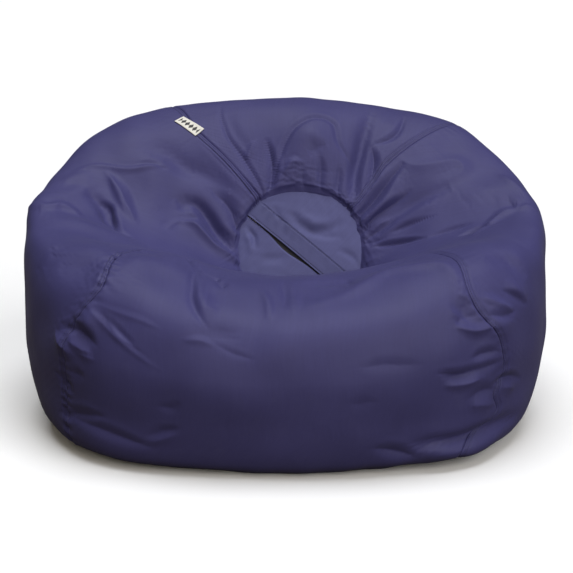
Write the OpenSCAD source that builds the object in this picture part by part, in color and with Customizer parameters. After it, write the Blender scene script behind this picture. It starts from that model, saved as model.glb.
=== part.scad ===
// Round bean bag chair, sunk in the middle to a seat with a raised back rest.
// Four cloth gores run from a round cap in the seat down to a flat base panel.
// A zip under a sewn flap crosses the cap.
// Inside is a second bag, closed by its own zip, that holds the beads.
// +X is the sitter's left hand side, -Y is the front and +Z is up. The origin is the middle of the base.

/* [Bag] */
// Width of the filled bag from side to side
bag_width = 1036; // [1000:1:1070]
// Depth of the filled bag from front to back
bag_depth = 960; // [930:1:990]
// Height of the back rest above the floor
bag_height = 578; // [565:1:592]
// Thickness of the cover cloth with its hems
cover_thickness = 1.5; // [1:0.1:1.5]
// Thickness of the inner bag's cloth
liner_thickness = 1; // [0.6:0.1:1]

/* [Cap] */
// Radius of the round cap in the seat
cap_radius = 128; // [126:1:130]
// Tilt of the cap away from level
cap_tilt = 60; // [58:1:62]
// Height of the middle of the cap above the floor
cap_height = 300; // [295:1:305]
// Direction of the zip across the cap
zip_direction = -41; // [-50:1:-30]

/* [Cover zip] */
// Distance of the zip from the middle of the cap
zip_offset = -2; // [-4:1:1]
// Spacing of the teeth along one row
tooth_pitch = 2.5; // [2.2:0.1:3]
// Travel of the slider, from closed to open
slider_travel = 200; // [160:5:200]
// Width of the flap that hides the zip
flap_width = 43; // [38:1:48]

/* [Inner zip] */
// Spacing of the inner zip's teeth along one row
inner_tooth_pitch = 2; // [1.8:0.1:2.4]
// Travel of the inner zip's slider
inner_slider_travel = 180; // [140:5:180]

/* [Labels] */
// Length of the woven label
label_length = 62; // [50:1:66]
// Width of the woven label
label_width = 26; // [20:1:30]

/* [Hidden] */
$fn = 96;

cloth_colour = [0.31, 0.31, 0.48];
cap_colour = [0.37, 0.37, 0.56];
tape_colour = [0.17, 0.17, 0.22];
teeth_colour = [0.22, 0.22, 0.27];
metal_colour = [0.55, 0.55, 0.58];
liner_colour = [0.90, 0.90, 0.88];
bead_colour = [0.97, 0.97, 0.95];
label_colour = [0.87, 0.86, 0.83];

// Rings of the filled bag between the cap and the floor, each in percent of the half width, the half depth
// and the height: half width, front y, back y, front z, side z, back z, lift of the corners, middle x.
// The last value is the ring's squareness, where 1 is an ellipse and less is squarer.
RINGS = [
  [29, -17, 19, 36, 55, 78, 0, 6, 1.00],
  [46, -31, 31, 49, 61, 91, 1, 5, 0.96],
  [70, -50, 46, 55, 68, 100, 3, 2, 0.88],
  [90, -73, 65, 55, 72, 99, 5, 0, 0.82],
  [99, -94, 86, 48, 67, 80, 3, 0, 0.88],
  [100, -100, 98, 33, 49, 57, 1, 0, 0.80],
  [100, -99, 100, 17, 26, 28, 0, 0, 0.80],
  [94, -95, 96, 5, 8, 8, 0, 0, 0.70],
  [89, -88, 89, 0, 0, 0, 0, 0, 0.84]];
HALF_WIDTH = 0;
FRONT_Y = 1;
BACK_Y = 2;
FRONT_Z = 3;
SIDE_Z = 4;
BACK_Z = 5;
LIFT = 6;
MIDDLE_X = 7;
SQUARENESS = 8;
last_ring = len(RINGS);

// How much of a ring's corner lift the front corners gain and the back corners lose
lift_bias = 0.55;

// The seams' azimuths, each as [ring, azimuth] pairs from the cap to the floor
BACK_RIGHT_SEAM = [[0, 42], [1.1, 38], [2, 42], [3, 42], [5, 39], [last_ring, 38]];
BACK_LEFT_SEAM = [[0, 126], [1.7, 129], [2.5, 127], [3.4, 120], [5, 119], [last_ring, 124]];
FRONT_LEFT_SEAM = [[0, 215], [2.8, 226], [3.8, 232], [4.8, 233], [5.8, 226], [7, 223], [last_ring, 221]];
FRONT_RIGHT_SEAM = [
  [0, 311],
  [3, 309],
  [4.4, 307],
  [5.3, 308],
  [6.4, 315],
  [7.3, 313],
  [7.7, 305],
  [last_ring, 308]
];
SEAMS = [BACK_RIGHT_SEAM, BACK_LEFT_SEAM, FRONT_LEFT_SEAM, FRONT_RIGHT_SEAM];
back_gore = 0;
left_gore = 1;
front_gore = 2;
right_gore = 3;

// The surface grid: cells across each gore, and rows of cells from the cap to the floor
gore_cells = 12;
grid_rows = 18;
round_cells = gore_cells * len(SEAMS);

// The layers, measured inwards from the outside of the cover
layer_gap = 0.6;
seam_gap = 0.3;
liner_outside = cover_thickness + layer_gap;
liner_inside = liner_outside + liner_thickness;
fill_outside = liner_inside + layer_gap;
base_thickness = cover_thickness;

// The cap's own frame: its middle, and heights above its face
cap_centre = [30, 14, cap_height];
cap_clearance = 0.6;
cap_face_radius = cap_radius - cap_clearance;
liner_mouth_radius = cap_radius - 2.4;
liner_disc_radius = liner_mouth_radius - 0.6;
liner_disc_top = -9;
liner_mouth_depth = -9.5;
fill_dish_radius = cap_radius - 0.5;
fill_dish_depth = -14;

// The cover's zip
tooth_gap = 1.4;
tooth_reach = 3.4;
tooth_height = 3;
tooth_width = 1.4;
chain_middle = -1.9;
tape_thickness = 0.8;
tape_width = 18;
zip_half_length = 104;
zip_opening = 6;
slider_plate = 1.2;
slider_length = 11;
slider_half_width = 5;
plate_clearance = 0.3;
stop_length = 3;

// The flap over the zip
flap_gap = 3.6;
flap_thickness = 1.2;
flap_free_edge = -9;
flap_sewn_edge = flap_free_edge + flap_width;
flap_margin = 4;

// The inner bag's zip, a smaller size of the same kind
inner_tooth_gap = 1.2;
inner_tooth_reach = 2.8;
inner_tooth_height = 2;
inner_tooth_width = 1.1;
inner_chain_middle = -10.6;
inner_tape_thickness = 0.5;
inner_tape_width = 12;
inner_zip_half_length = 94;
inner_zip_opening = 5;
inner_slider_plate = 1;
inner_slider_length = 9;
inner_slider_half_width = 4;

// The labels
label_thickness = 0.6;
label_lift = 0.8;
label_ring = 2.8;
label_azimuth = 126;
label_twist = -128;
care_length = 70;
care_width = 34;
care_ring = 8.1;
care_azimuth = 47;
care_lift = 1.2;

// Signed power, which squares off a sine or cosine
function power(v, p) = sign(v) * pow(abs(v), p);

// A point on the cap's rim
function rim_point(azimuth) = cap_point(cap_radius, azimuth, 0);

// A point given by radius and azimuth on the cap and height above its face, in the bag's frame
function cap_point(radius, azimuth, height) = let(
    across = radius * cos(azimuth),
    up = radius * sin(azimuth))
  cap_centre + [
    across,
    up * cos(cap_tilt) - height * sin(cap_tilt),
    up * sin(cap_tilt) + height * cos(cap_tilt)];

// A point on one ring: ring 0 is the cap's rim and the last is the edge of the base
function ring_point(index, azimuth) =
  index == 0 ? rim_point(azimuth) : table_ring_point(RINGS[index - 1], azimuth);

function table_ring_point(ring, azimuth) = let(
    across = power(cos(azimuth), ring[SQUARENESS]),
    back = power(sin(azimuth), ring[SQUARENESS]),
    middle_z = (ring[FRONT_Z] + ring[BACK_Z]) / 2,
    slope_z = (ring[BACK_Z] - ring[FRONT_Z]) / 2,
    corner = pow(sin(2 * azimuth), 2) * (1 - lift_bias * sin(azimuth)),
    x = ring[MIDDLE_X] + ring[HALF_WIDTH] * across,
    y = (ring[FRONT_Y] + ring[BACK_Y]) / 2 + (ring[BACK_Y] - ring[FRONT_Y]) / 2 * back,
    z = ring[SIDE_Z] + slope_z * back + (middle_z - ring[SIDE_Z]) * back * back + ring[LIFT] * corner)
  [x * bag_width / 200, y * bag_depth / 200, base_thickness + z * (bag_height - base_thickness) / 100];

// A smooth curve through b and c, with a and d beyond them
function smooth(a, b, c, d, u) = let(
    tangent_b = (c - a) / 2,
    tangent_c = (d - b) / 2,
    u2 = u * u,
    u3 = u2 * u)
  (2 * u3 - 3 * u2 + 1) * b + (u3 - 2 * u2 + u) * tangent_b
    + (3 * u2 - 2 * u3) * c + (u3 - u2) * tangent_c;

// A point on the outside of the bag, at a ring number with a fraction
function bag_point(ring, azimuth) = let(
    low = min(floor(ring), last_ring - 1),
    b = ring_point(low, azimuth),
    c = ring_point(low + 1, azimuth),
    a = low == 0 ? 2 * b - c : ring_point(low - 1, azimuth),
    d = low == last_ring - 1 ? 2 * c - b : ring_point(low + 2, azimuth))
  smooth(a, b, c, d, ring - low);

// The outward direction there
function bag_normal(ring, azimuth) = let(
    step = 0.02,
    down = bag_point(min(ring + step, last_ring), azimuth) - bag_point(max(ring - step, 0), azimuth),
    around = bag_point(ring, azimuth + 1) - bag_point(ring, azimuth - 1),
    out = cross(down, around))
  out / norm(out);

// A point a given depth inside the bag's outer surface
function inside_point(ring, azimuth, depth) =
  bag_point(ring, azimuth) - depth * bag_normal(ring, azimuth);

// Azimuth of a seam, where seam 4 is seam 0 again after a full turn
function seam_azimuth(seam, ring) = lookup(ring, SEAMS[seam % len(SEAMS)]) + (seam >= len(SEAMS) ? 360 : 0);

// Azimuth of a grid column, counted in cells around the bag from the first seam
function column_azimuth(column, ring) = let(
    gore = floor(column / gore_cells),
    share = column / gore_cells - gore)
  (1 - share) * seam_azimuth(gore, ring) + share * seam_azimuth(gore + 1, ring);

function row_ring(row) = row * last_ring / grid_rows;

// One row of grid points at a depth, from one column to another
function grid_row(row, first, last, depth) =
  [for (column = [first : last]) inside_point(row_ring(row), column_azimuth(column, row_ring(row)), depth)];

// The same with its two ends drawn in, which leaves a gap at the seams
function gore_row(row, first, depth) = let(
    points = grid_row(row, first, first + gore_cells, depth),
    start = points[0],
    second = points[1],
    near_end = points[gore_cells - 1],
    end = points[gore_cells])
  [for (i = [0 : gore_cells])
    i == 0 ? start + (second - start) * seam_gap / norm(second - start) / 2 :
    i == gore_cells ? end + (near_end - end) * seam_gap / norm(near_end - end) / 2 :
    points[i]];

function flatten(rows) = [for (points = rows) for (p = points) p];

// Triangles of a grid with per_row points in each row. A closed grid has as many cells as points
function grid_faces(start, per_row, cells, rows, flip) =
  [for (r = [0 : rows - 1]) for (c = [0 : cells - 1])
    let(
      a = start + r * per_row + c,
      b = start + r * per_row + (c + 1) % per_row,
      d = a + per_row,
      e = b + per_row)
    each flip ? [[a, d, e], [a, e, b]] : [[a, e, d], [a, b, e]]];

// Triangles that close an outer edge to an inner one
function edge_faces(outer, inner, flip) =
  [for (i = [0 : len(outer) - 2])
    each flip
      ? [[outer[i], inner[i + 1], inner[i]], [outer[i], outer[i + 1], inner[i + 1]]]
      : [[outer[i], inner[i], inner[i + 1]], [outer[i], inner[i + 1], outer[i + 1]]]];

// Triangles from a closed row of points to one point
function fan_faces(start, cells, tip, flip) =
  [for (c = [0 : cells - 1])
    let(a = start + c, b = start + (c + 1) % cells)
    flip ? [a, b, tip] : [b, a, tip]];

// One gore of the cover: a sheet that follows the filled bag from the cap's rim to the base
module gore(index) {
  first = index * gore_cells;
  per_row = gore_cells + 1;
  outer = flatten([for (row = [0 : grid_rows]) gore_row(row, first, 0)]);
  inner = flatten([for (row = [0 : grid_rows]) gore_row(row, first, cover_thickness)]);
  count = len(outer);
  top = [for (c = [0 : gore_cells]) c];
  bottom = [for (c = top) grid_rows * per_row + c];
  start_side = [for (r = [0 : grid_rows]) r * per_row];
  end_side = [for (i = start_side) i + gore_cells];
  polyhedron(
    concat(outer, inner),
    concat(
      grid_faces(0, per_row, gore_cells, grid_rows, false),
      grid_faces(count, per_row, gore_cells, grid_rows, true),
      edge_faces(top, [for (i = top) i + count], false),
      edge_faces(bottom, [for (i = bottom) i + count], true),
      edge_faces(start_side, [for (i = start_side) i + count], true),
      edge_faces(end_side, [for (i = end_side) i + count], false)));
}

module front_panel() {
  color(cloth_colour) gore(front_gore);
}

module right_panel() {
  color(cloth_colour) gore(right_gore);
}

module back_panel() {
  color(cloth_colour) gore(back_gore);
}

module left_panel() {
  color(cloth_colour) gore(left_gore);
}

// The flat round panel that the bag stands on
module base_panel() {
  edge = [for (column = [0 : round_cells - 1]) ring_point(last_ring, column_azimuth(column, last_ring))];
  color(cloth_colour)
    linear_extrude(base_thickness)
      polygon([for (p = edge) [p[0], p[1]]]);
}

// Puts its children on the cap's face, with X along the zip and Z out of the seat
module on_cap() {
  translate(cap_centre)
    rotate([cap_tilt, 0, 0])
      rotate([0, 0, zip_direction])
        children();
}

// Puts its children on the zip's centre line
module on_zip() {
  on_cap()
    translate([0, zip_offset, 0])
      children();
}

// A block given by its lowest and highest corners
module block(low, high) {
  translate(low) cube(high - low);
}

// A disc cut back to one side of a zip. Side is 1 above the zip and -1 below it
module half_disc(radius, bottom, top, side, edge) {
  intersection() {
    translate([0, 0, bottom]) cylinder(r = radius, h = top - bottom);
    if (side > 0)
      block([-radius, edge, bottom - 1], [radius, radius, top + 1]);
    else
      block([-radius, -radius, bottom - 1], [radius, edge, top + 1]);
  }
}

module cap_lower_half() {
  color(cap_colour)
    on_cap() half_disc(cap_face_radius, -cover_thickness, 0, -1, zip_offset - zip_opening);
}

module cap_upper_half() {
  color(cap_colour)
    on_cap() half_disc(cap_face_radius, -cover_thickness, 0, 1, zip_offset + zip_opening);
}

// The flap lies over the zip and is sewn down along its upper edge
module zip_flap() {
  flap_top = flap_gap + flap_thickness;
  color(cap_colour)
    on_cap()
      intersection() {
        cylinder(r = cap_face_radius, h = flap_top);
        union() {
          block([-cap_radius, flap_free_edge, flap_gap], [cap_radius, flap_sewn_edge, flap_top]);
          block([-cap_radius, flap_sewn_edge - flap_margin, 0], [cap_radius, flap_sewn_edge, flap_top]);
        }
      }
}

// One strip of zip tape. Side is 1 above the zip and -1 below it
module tape(side, inner, outer, top, thickness, half_length) {
  low = side > 0 ? inner : -outer;
  block([-half_length, low, top - thickness], [half_length, low + outer - inner, top]);
}

// One row of teeth, set along the edge of its tape
module teeth(side, pitch, gap, reach, width, height, middle, half_length) {
  shift = side > 0 ? pitch / 2 : 0;
  low = side > 0 ? gap / 2 : -reach;
  count = floor((2 * half_length - width - shift) / pitch);
  for (i = [0 : count])
    block(
      [-half_length + shift + i * pitch, low, middle - height / 2],
      [-half_length + shift + i * pitch + width, low + reach - gap / 2, middle + height / 2]);
}

tape_half_length = zip_half_length + 8;

module zip_tape_lower() {
  color(tape_colour)
    on_zip() tape(-1, tooth_reach, tape_width, -cover_thickness, tape_thickness, tape_half_length);
}

module zip_tape_upper() {
  color(tape_colour)
    on_zip() tape(1, tooth_reach, tape_width, -cover_thickness, tape_thickness, tape_half_length);
}

module zip_teeth_lower() {
  color(teeth_colour)
    on_zip()
      teeth(
        -1, tooth_pitch, tooth_gap, tooth_reach, tooth_width, tooth_height, chain_middle,
        zip_half_length);
}

module zip_teeth_upper() {
  color(teeth_colour)
    on_zip()
      teeth(
        1, tooth_pitch, tooth_gap, tooth_reach, tooth_width, tooth_height, chain_middle,
        zip_half_length);
}

// The outline of a slider's plate: a blunt wedge, wide where the two rows part
module slider_outline(length, half_width) {
  half = length / 2;
  polygon([
    [-half, -half_width * 0.6],
    [-half + 2, -half_width],
    [half - 2, -half_width],
    [half, -half_width * 0.8],
    [half, half_width * 0.8],
    [half - 2, half_width],
    [-half + 2, half_width],
    [-half, half_width * 0.6]]);
}

// Two plates joined by a web between the rows, with rails that hold the tapes' edges in
module slider_body(length, half_width, plate, height, middle, gap, tape_top, tape_bottom) {
  rail = 0.8;
  web_length = 3;
  web_half_width = gap / 2 - plate_clearance;
  top = middle + height / 2 + plate_clearance;
  bottom = middle - height / 2 - plate_clearance;
  translate([0, 0, top]) linear_extrude(plate) slider_outline(length, half_width);
  translate([0, 0, bottom - plate]) linear_extrude(plate) slider_outline(length, half_width);
  block(
    [-length / 2 + 1, -web_half_width, bottom - plate],
    [-length / 2 + 1 + web_length, web_half_width, top + plate]);
  for (side = [-1, 1]) {
    low = side > 0 ? half_width - rail : -half_width;
    start = -length / 2 + 2;
    end = length / 2 - 2;
    block([start, low, tape_top + plate_clearance], [end, low + rail, top + plate]);
    block([start, low, bottom - plate], [end, low + rail, tape_bottom - plate_clearance]);
  }
}

slider_rest = -slider_travel / 2;
slider_top = chain_middle + tooth_height / 2 + plate_clearance + slider_plate;

// The cover's slider has no pull tab: a low bridge takes a hook in its place, so that no child can open it
module zip_slider() {
  bridge_half_length = 3.5;
  bridge_half_width = 1.4;
  bridge_height = 1.8;
  wall = 0.7;
  hole_start = 1.9;
  hole_end = 3.1;
  hole_half_width = 0.65;
  color(metal_colour)
    on_zip()
      translate([slider_rest, 0, 0])
        difference() {
          union() {
            slider_body(
              slider_length, slider_half_width, slider_plate, tooth_height, chain_middle, tooth_gap,
              -cover_thickness, -cover_thickness - tape_thickness);
            block(
              [-bridge_half_length, -bridge_half_width, slider_top],
              [bridge_half_length, bridge_half_width, slider_top + bridge_height]);
          }
          block(
            [-bridge_half_length + wall, -bridge_half_width - 1, slider_top],
            [bridge_half_length + 1, bridge_half_width + 1, slider_top + bridge_height - wall]);
          block(
            [hole_start, -hole_half_width, slider_top - 2],
            [hole_end, hole_half_width, slider_top + 1]);
        }
}

// The spring inside the bridge, whose nib drops between the rows and locks the slider
module slider_lock_spring() {
  leaf_start = -2.5;
  leaf_half_width = 0.9;
  leaf_low = 0.4;
  leaf_high = 0.75;
  nib_start = 2.2;
  nib_end = 2.8;
  nib_half_width = 0.3;
  nib_depth = 2.4;
  color(metal_colour)
    on_zip()
      translate([slider_rest, 0, slider_top]) {
        block([leaf_start, -leaf_half_width, leaf_low], [nib_end, leaf_half_width, leaf_high]);
        block([nib_start, -nib_half_width, -nib_depth], [nib_end, nib_half_width, leaf_high]);
      }
}

// A pair of stops at the closed end, one on each row
module zip_top_stops() {
  color(metal_colour)
    on_zip()
      for (low = [-tooth_reach, tooth_gap / 2])
        block(
          [-zip_half_length - 1 - stop_length, low, chain_middle - tooth_height / 2],
          [-zip_half_length - 1, low + tooth_reach - tooth_gap / 2, chain_middle + tooth_height / 2]);
}

// One stop across both rows at the open end
module zip_bottom_stop() {
  color(metal_colour)
    on_zip()
      block(
        [zip_half_length + 2, -tooth_reach, chain_middle - tooth_height / 2],
        [zip_half_length + 2 + stop_length, tooth_reach, chain_middle + tooth_height / 2]);
}

// The inner bag: one thin wall from the mouth under the cap, around the beads and across the base
module inner_liner() {
  outer_base = [0, 0, base_thickness + layer_gap + liner_thickness];
  inner_base = outer_base + [0, 0, liner_thickness];
  outer_mouth = [for (c = [0 : round_cells - 1])
    cap_point(liner_mouth_radius, column_azimuth(c, 0), liner_mouth_depth)];
  inner_mouth = [for (c = [0 : round_cells - 1])
    cap_point(liner_mouth_radius + liner_thickness, column_azimuth(c, 0), liner_mouth_depth)];
  outer = concat(outer_mouth, flatten([for (row = [0 : grid_rows])
    grid_row(row, 0, round_cells - 1, liner_outside)]));
  inner = concat(inner_mouth, flatten([for (row = [0 : grid_rows])
    grid_row(row, 0, round_cells - 1, liner_inside)]));
  count = len(outer);
  mouth = [for (c = [0 : round_cells]) c % round_cells];
  last_row = (grid_rows + 1) * round_cells;
  color(liner_colour)
    polyhedron(
      concat(outer, inner, [outer_base, inner_base]),
      concat(
        grid_faces(0, round_cells, round_cells, grid_rows + 1, false),
        grid_faces(count, round_cells, round_cells, grid_rows + 1, true),
        edge_faces(mouth, [for (i = mouth) i + count], false),
        fan_faces(last_row, round_cells, 2 * count, true),
        fan_faces(count + last_row, round_cells, 2 * count + 1, false)));
}

module liner_top_lower() {
  color(liner_colour)
    on_cap()
      half_disc(
        liner_disc_radius, liner_disc_top - liner_thickness, liner_disc_top, -1, -inner_zip_opening);
}

module liner_top_upper() {
  color(liner_colour)
    on_cap()
      half_disc(
        liner_disc_radius, liner_disc_top - liner_thickness, liner_disc_top, 1, inner_zip_opening);
}

inner_tape_top = liner_disc_top - liner_thickness;
inner_tape_half_length = inner_zip_half_length + 8;

module liner_zip_tape_lower() {
  color(liner_colour)
    on_cap()
      tape(
        -1, inner_tooth_reach, inner_tape_width, inner_tape_top, inner_tape_thickness,
        inner_tape_half_length);
}

module liner_zip_tape_upper() {
  color(liner_colour)
    on_cap()
      tape(
        1, inner_tooth_reach, inner_tape_width, inner_tape_top, inner_tape_thickness,
        inner_tape_half_length);
}

module liner_teeth(side) {
  teeth(
    side, inner_tooth_pitch, inner_tooth_gap, inner_tooth_reach, inner_tooth_width, inner_tooth_height,
    inner_chain_middle, inner_zip_half_length);
}

module liner_zip_teeth_lower() {
  color(liner_colour) on_cap() liner_teeth(-1);
}

module liner_zip_teeth_upper() {
  color(liner_colour) on_cap() liner_teeth(1);
}

module liner_zip_slider() {
  color(metal_colour)
    on_cap()
      translate([-inner_slider_travel / 2, 0, 0])
        slider_body(
          inner_slider_length, inner_slider_half_width, inner_slider_plate, inner_tooth_height,
          inner_chain_middle, inner_tooth_gap, inner_tape_top, inner_tape_top - inner_tape_thickness);
}

// The inner zip's stops, one across both rows at each end
module liner_zip_stops() {
  start = inner_zip_half_length + 1.5;
  color(metal_colour)
    on_cap()
      for (low = [-start - stop_length, start])
        block(
          [low, -inner_tooth_reach, inner_chain_middle - inner_tooth_height / 2],
          [low + stop_length, inner_tooth_reach, inner_chain_middle + inner_tooth_height / 2]);
}

// The beads, as the one solid that they fill, with a shallow dish under the inner zip
module bead_fill() {
  dish_centre = cap_point(0, 0, fill_dish_depth);
  base_centre = [0, 0, base_thickness + 2 * layer_gap + 2 * liner_thickness];
  dish = [for (c = [0 : round_cells - 1])
    cap_point(fill_dish_radius, column_azimuth(c, 0), fill_dish_depth)];
  side = flatten([for (row = [0 : grid_rows]) grid_row(row, 0, round_cells - 1, fill_outside)]);
  points = concat(dish, side);
  count = len(points);
  last_row = (grid_rows + 1) * round_cells;
  color(bead_colour)
    polyhedron(
      concat(points, [dish_centre, base_centre]),
      concat(
        grid_faces(0, round_cells, round_cells, grid_rows + 1, false),
        fan_faces(0, round_cells, count, false),
        fan_faces(last_row, round_cells, count + 1, true)));
}

// Lays its children on the bag's surface, with Z outwards
module on_bag(ring, azimuth, lift, twist) {
  out = bag_normal(ring, azimuth);
  translate(bag_point(ring, azimuth) + lift * out)
    rotate([0, acos(out[2]), atan2(out[1], out[0])])
      rotate([0, 0, twist])
        children();
}

module woven_label() {
  color(label_colour)
    on_bag(label_ring, label_azimuth, label_lift, label_twist)
      block([-label_length / 2, -label_width / 2, 0], [label_length / 2, label_width / 2, label_thickness]);
}

// The care label, sewn into the back corner seam near the base
module care_label() {
  color(label_colour)
    on_bag(care_ring, care_azimuth, care_lift, 90)
      block([-care_length / 2, -care_width / 2, 0], [care_length / 2, care_width / 2, label_thickness]);
}

front_panel();
right_panel();
back_panel();
left_panel();
base_panel();
cap_lower_half();
cap_upper_half();
zip_flap();
zip_tape_lower();
zip_tape_upper();
zip_teeth_lower();
zip_teeth_upper();
zip_slider();
slider_lock_spring();
zip_top_stops();
zip_bottom_stop();
inner_liner();
liner_top_lower();
liner_top_upper();
liner_zip_tape_lower();
liner_zip_tape_upper();
liner_zip_teeth_lower();
liner_zip_teeth_upper();
liner_zip_slider();
liner_zip_stops();
bead_fill();
woven_label();
care_label();
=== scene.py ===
"""Round bean bag chair: the looks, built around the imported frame. Metres, +Z up, front towards -Y."""
import math

import bpy
import numpy as np
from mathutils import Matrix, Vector


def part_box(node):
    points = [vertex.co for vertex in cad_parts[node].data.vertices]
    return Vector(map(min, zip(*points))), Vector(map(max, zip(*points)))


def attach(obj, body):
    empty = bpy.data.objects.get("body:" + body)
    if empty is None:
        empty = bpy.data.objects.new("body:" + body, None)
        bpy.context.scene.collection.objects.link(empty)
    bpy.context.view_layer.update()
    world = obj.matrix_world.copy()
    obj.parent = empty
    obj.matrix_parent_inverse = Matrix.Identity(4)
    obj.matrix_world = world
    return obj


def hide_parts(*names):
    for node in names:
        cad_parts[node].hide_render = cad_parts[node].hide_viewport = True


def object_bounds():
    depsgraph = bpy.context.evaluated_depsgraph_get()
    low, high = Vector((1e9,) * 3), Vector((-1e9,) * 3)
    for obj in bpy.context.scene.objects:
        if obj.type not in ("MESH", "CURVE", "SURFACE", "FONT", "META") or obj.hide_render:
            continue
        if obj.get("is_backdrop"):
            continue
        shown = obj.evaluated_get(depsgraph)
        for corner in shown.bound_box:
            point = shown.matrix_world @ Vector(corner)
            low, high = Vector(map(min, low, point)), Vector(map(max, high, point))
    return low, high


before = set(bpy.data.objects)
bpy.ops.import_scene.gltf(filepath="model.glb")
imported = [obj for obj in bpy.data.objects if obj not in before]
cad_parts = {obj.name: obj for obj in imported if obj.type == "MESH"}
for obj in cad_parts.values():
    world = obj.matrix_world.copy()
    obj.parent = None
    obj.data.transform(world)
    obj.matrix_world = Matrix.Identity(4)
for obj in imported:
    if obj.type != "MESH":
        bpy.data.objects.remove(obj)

CAD_LOW, CAD_HIGH = (Vector(corner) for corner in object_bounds())
COVER = "cover"

# ---------------------------------------------------------------------------------------------------------
# The bag's form: a loft through rings between the round cap in the seat and the flat base
# ---------------------------------------------------------------------------------------------------------

HALF_WIDTH = (CAD_HIGH.x - CAD_LOW.x) / 2
HALF_DEPTH = (CAD_HIGH.y - CAD_LOW.y) / 2
CROWN = 1.009  # the corners of the back rest stand this much above the ring that they belong to
HEIGHT = CAD_HIGH.z / CROWN

# Each ring, in percent of the half width, half depth and height: half width, front y, back y, front z,
# side z, back z, lift of the corners, middle x, and how square it is, where 1 is an ellipse
RINGS = (
    (29, -17, 19, 36, 55, 78, 0, 6, 1.00),
    (46, -31, 31, 49, 61, 91, 1, 5, 0.96),
    (70, -50, 46, 55, 68, 100, 3, 2, 0.88),
    (90, -72, 65, 54.4, 72, 99, 5, 0, 0.82),
    (99, -93, 86, 47.2, 67, 80, 3, 0, 0.88),
    (100, -100, 98, 32.5, 49, 57, 1, 0, 0.80),
    (100, -99, 100, 17, 26, 28, 0, 0, 0.80),
    (94, -95, 96, 5, 8, 8, 0, 0, 0.70),
    (89, -88, 89, 0.4, 0.4, 0.4, 0, 0, 0.84),
)
LAST_RING = len(RINGS)
LIFT_BIAS = 0.55  # how much less the corners at the back are lifted, and the ones in front more

# The four seams, in the order that the grid's columns meet them, as (ring, azimuth in degrees) from the cap
# down to the floor
SEAMS = {
    "back_right": ((0, 42), (1.1, 38), (2, 42), (3, 42), (5, 39), (9, 38)),
    "back_left": ((0, 126), (1.7, 129), (2.5, 127), (3.4, 120), (5, 119), (9, 124)),
    "front_left": ((0, 215), (2.8, 226), (3.8, 232), (4.8, 233), (5.8, 226), (7, 223), (9, 221)),
    "front_right": (
        (0, 311), (3, 309), (4.4, 306.8), (5.3, 308), (6, 314),
        (6.5, 315), (6.8, 312.5), (7.25, 313.5), (7.6, 305), (9, 308),
    ),
}
# Gores in the same order, each from one seam to the next
GORES = ("back_panel", "left_panel", "front_panel", "right_panel")
# Thickness of the cloth pieces that have one
THICKNESS = {
    "cap": 0.0009, "flap": 0.0011, "base": 0.0012, "liner_top": 0.0008, "label": 0.0007, "care": 0.0005,
}


SEAT_TILT = math.radians(60)
CAD_CAP_THICKNESS = 0.0015


def cap_frame():
    """The cap's middle, radius, and its axes: across, up the slope, and out of the seat."""
    boxes = [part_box(name) for name in ("cap_lower_half", "cap_upper_half")]
    low = np.min([box[0] for box in boxes], axis=0)
    high = np.max([box[1] for box in boxes], axis=0)
    out = np.array([0, -math.sin(SEAT_TILT), math.cos(SEAT_TILT)])
    up = np.array([0, math.cos(SEAT_TILT), math.sin(SEAT_TILT)])
    centre = (low + high) / 2 + out * CAD_CAP_THICKNESS / 2
    radius = (high[0] - low[0]) / 2 + 0.0006
    return centre, radius, np.array([1.0, 0, 0]), up, out


CAP_CENTRE, CAP_RADIUS, CAP_ACROSS, CAP_UP, CAP_OUT = cap_frame()
ZIP_TURN = math.radians(-41)  # the zip slants down to the right in the picture
ZIP_ALONG = math.cos(ZIP_TURN) * CAP_ACROSS + math.sin(ZIP_TURN) * CAP_UP
ZIP_UPWARD = math.cos(ZIP_TURN) * CAP_UP - math.sin(ZIP_TURN) * CAP_ACROSS


def rim_radius(azimuth):
    """The cap's rim is drawn out at four corners, where the filling pulls hardest, and up the back rest."""
    return CAP_RADIUS * (1 - 0.030 * np.cos(4 * azimuth) + 0.105 * (0.5 + 0.5 * np.sin(azimuth)) ** 3)


def signed_power(value, power):
    return np.sign(value) * np.abs(value) ** power


def hermite(u, start, start_slope, end, end_slope):
    """A cubic from start to end, for u from 0 to 1, with a slope at each end."""
    return (
        (2 * u**3 - 3 * u**2 + 1) * start
        + (u**3 - 2 * u**2 + u) * start_slope
        + (3 * u**2 - 2 * u**3) * end
        + (u**3 - u**2) * end_slope
    )


def spline(u, a, b, c, d):
    """A smooth curve from b to c for u from 0 to 1, where a and d come before and after them."""
    return hermite(u, b, (c - a) / 2, c, (d - b) / 2)


def hump(distance, width):
    """A rounded hump: 1 in its middle, and 0.37 at a width from there."""
    return np.exp(-((distance / width) ** 2))


def steps(points, axis=0):
    """Distances between neighbouring points along an axis of a grid, or along a path."""
    return np.linalg.norm(np.diff(points, axis=axis), axis=-1)


def running(lengths, axis=0):
    """How far each point is along its path, from the lengths of the steps between points."""
    return np.insert(np.cumsum(lengths, axis=axis), 0, 0, axis=axis)


def unit(vectors):
    """The vectors' directions, each one long."""
    return vectors / np.linalg.norm(vectors, axis=-1, keepdims=True)


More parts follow.
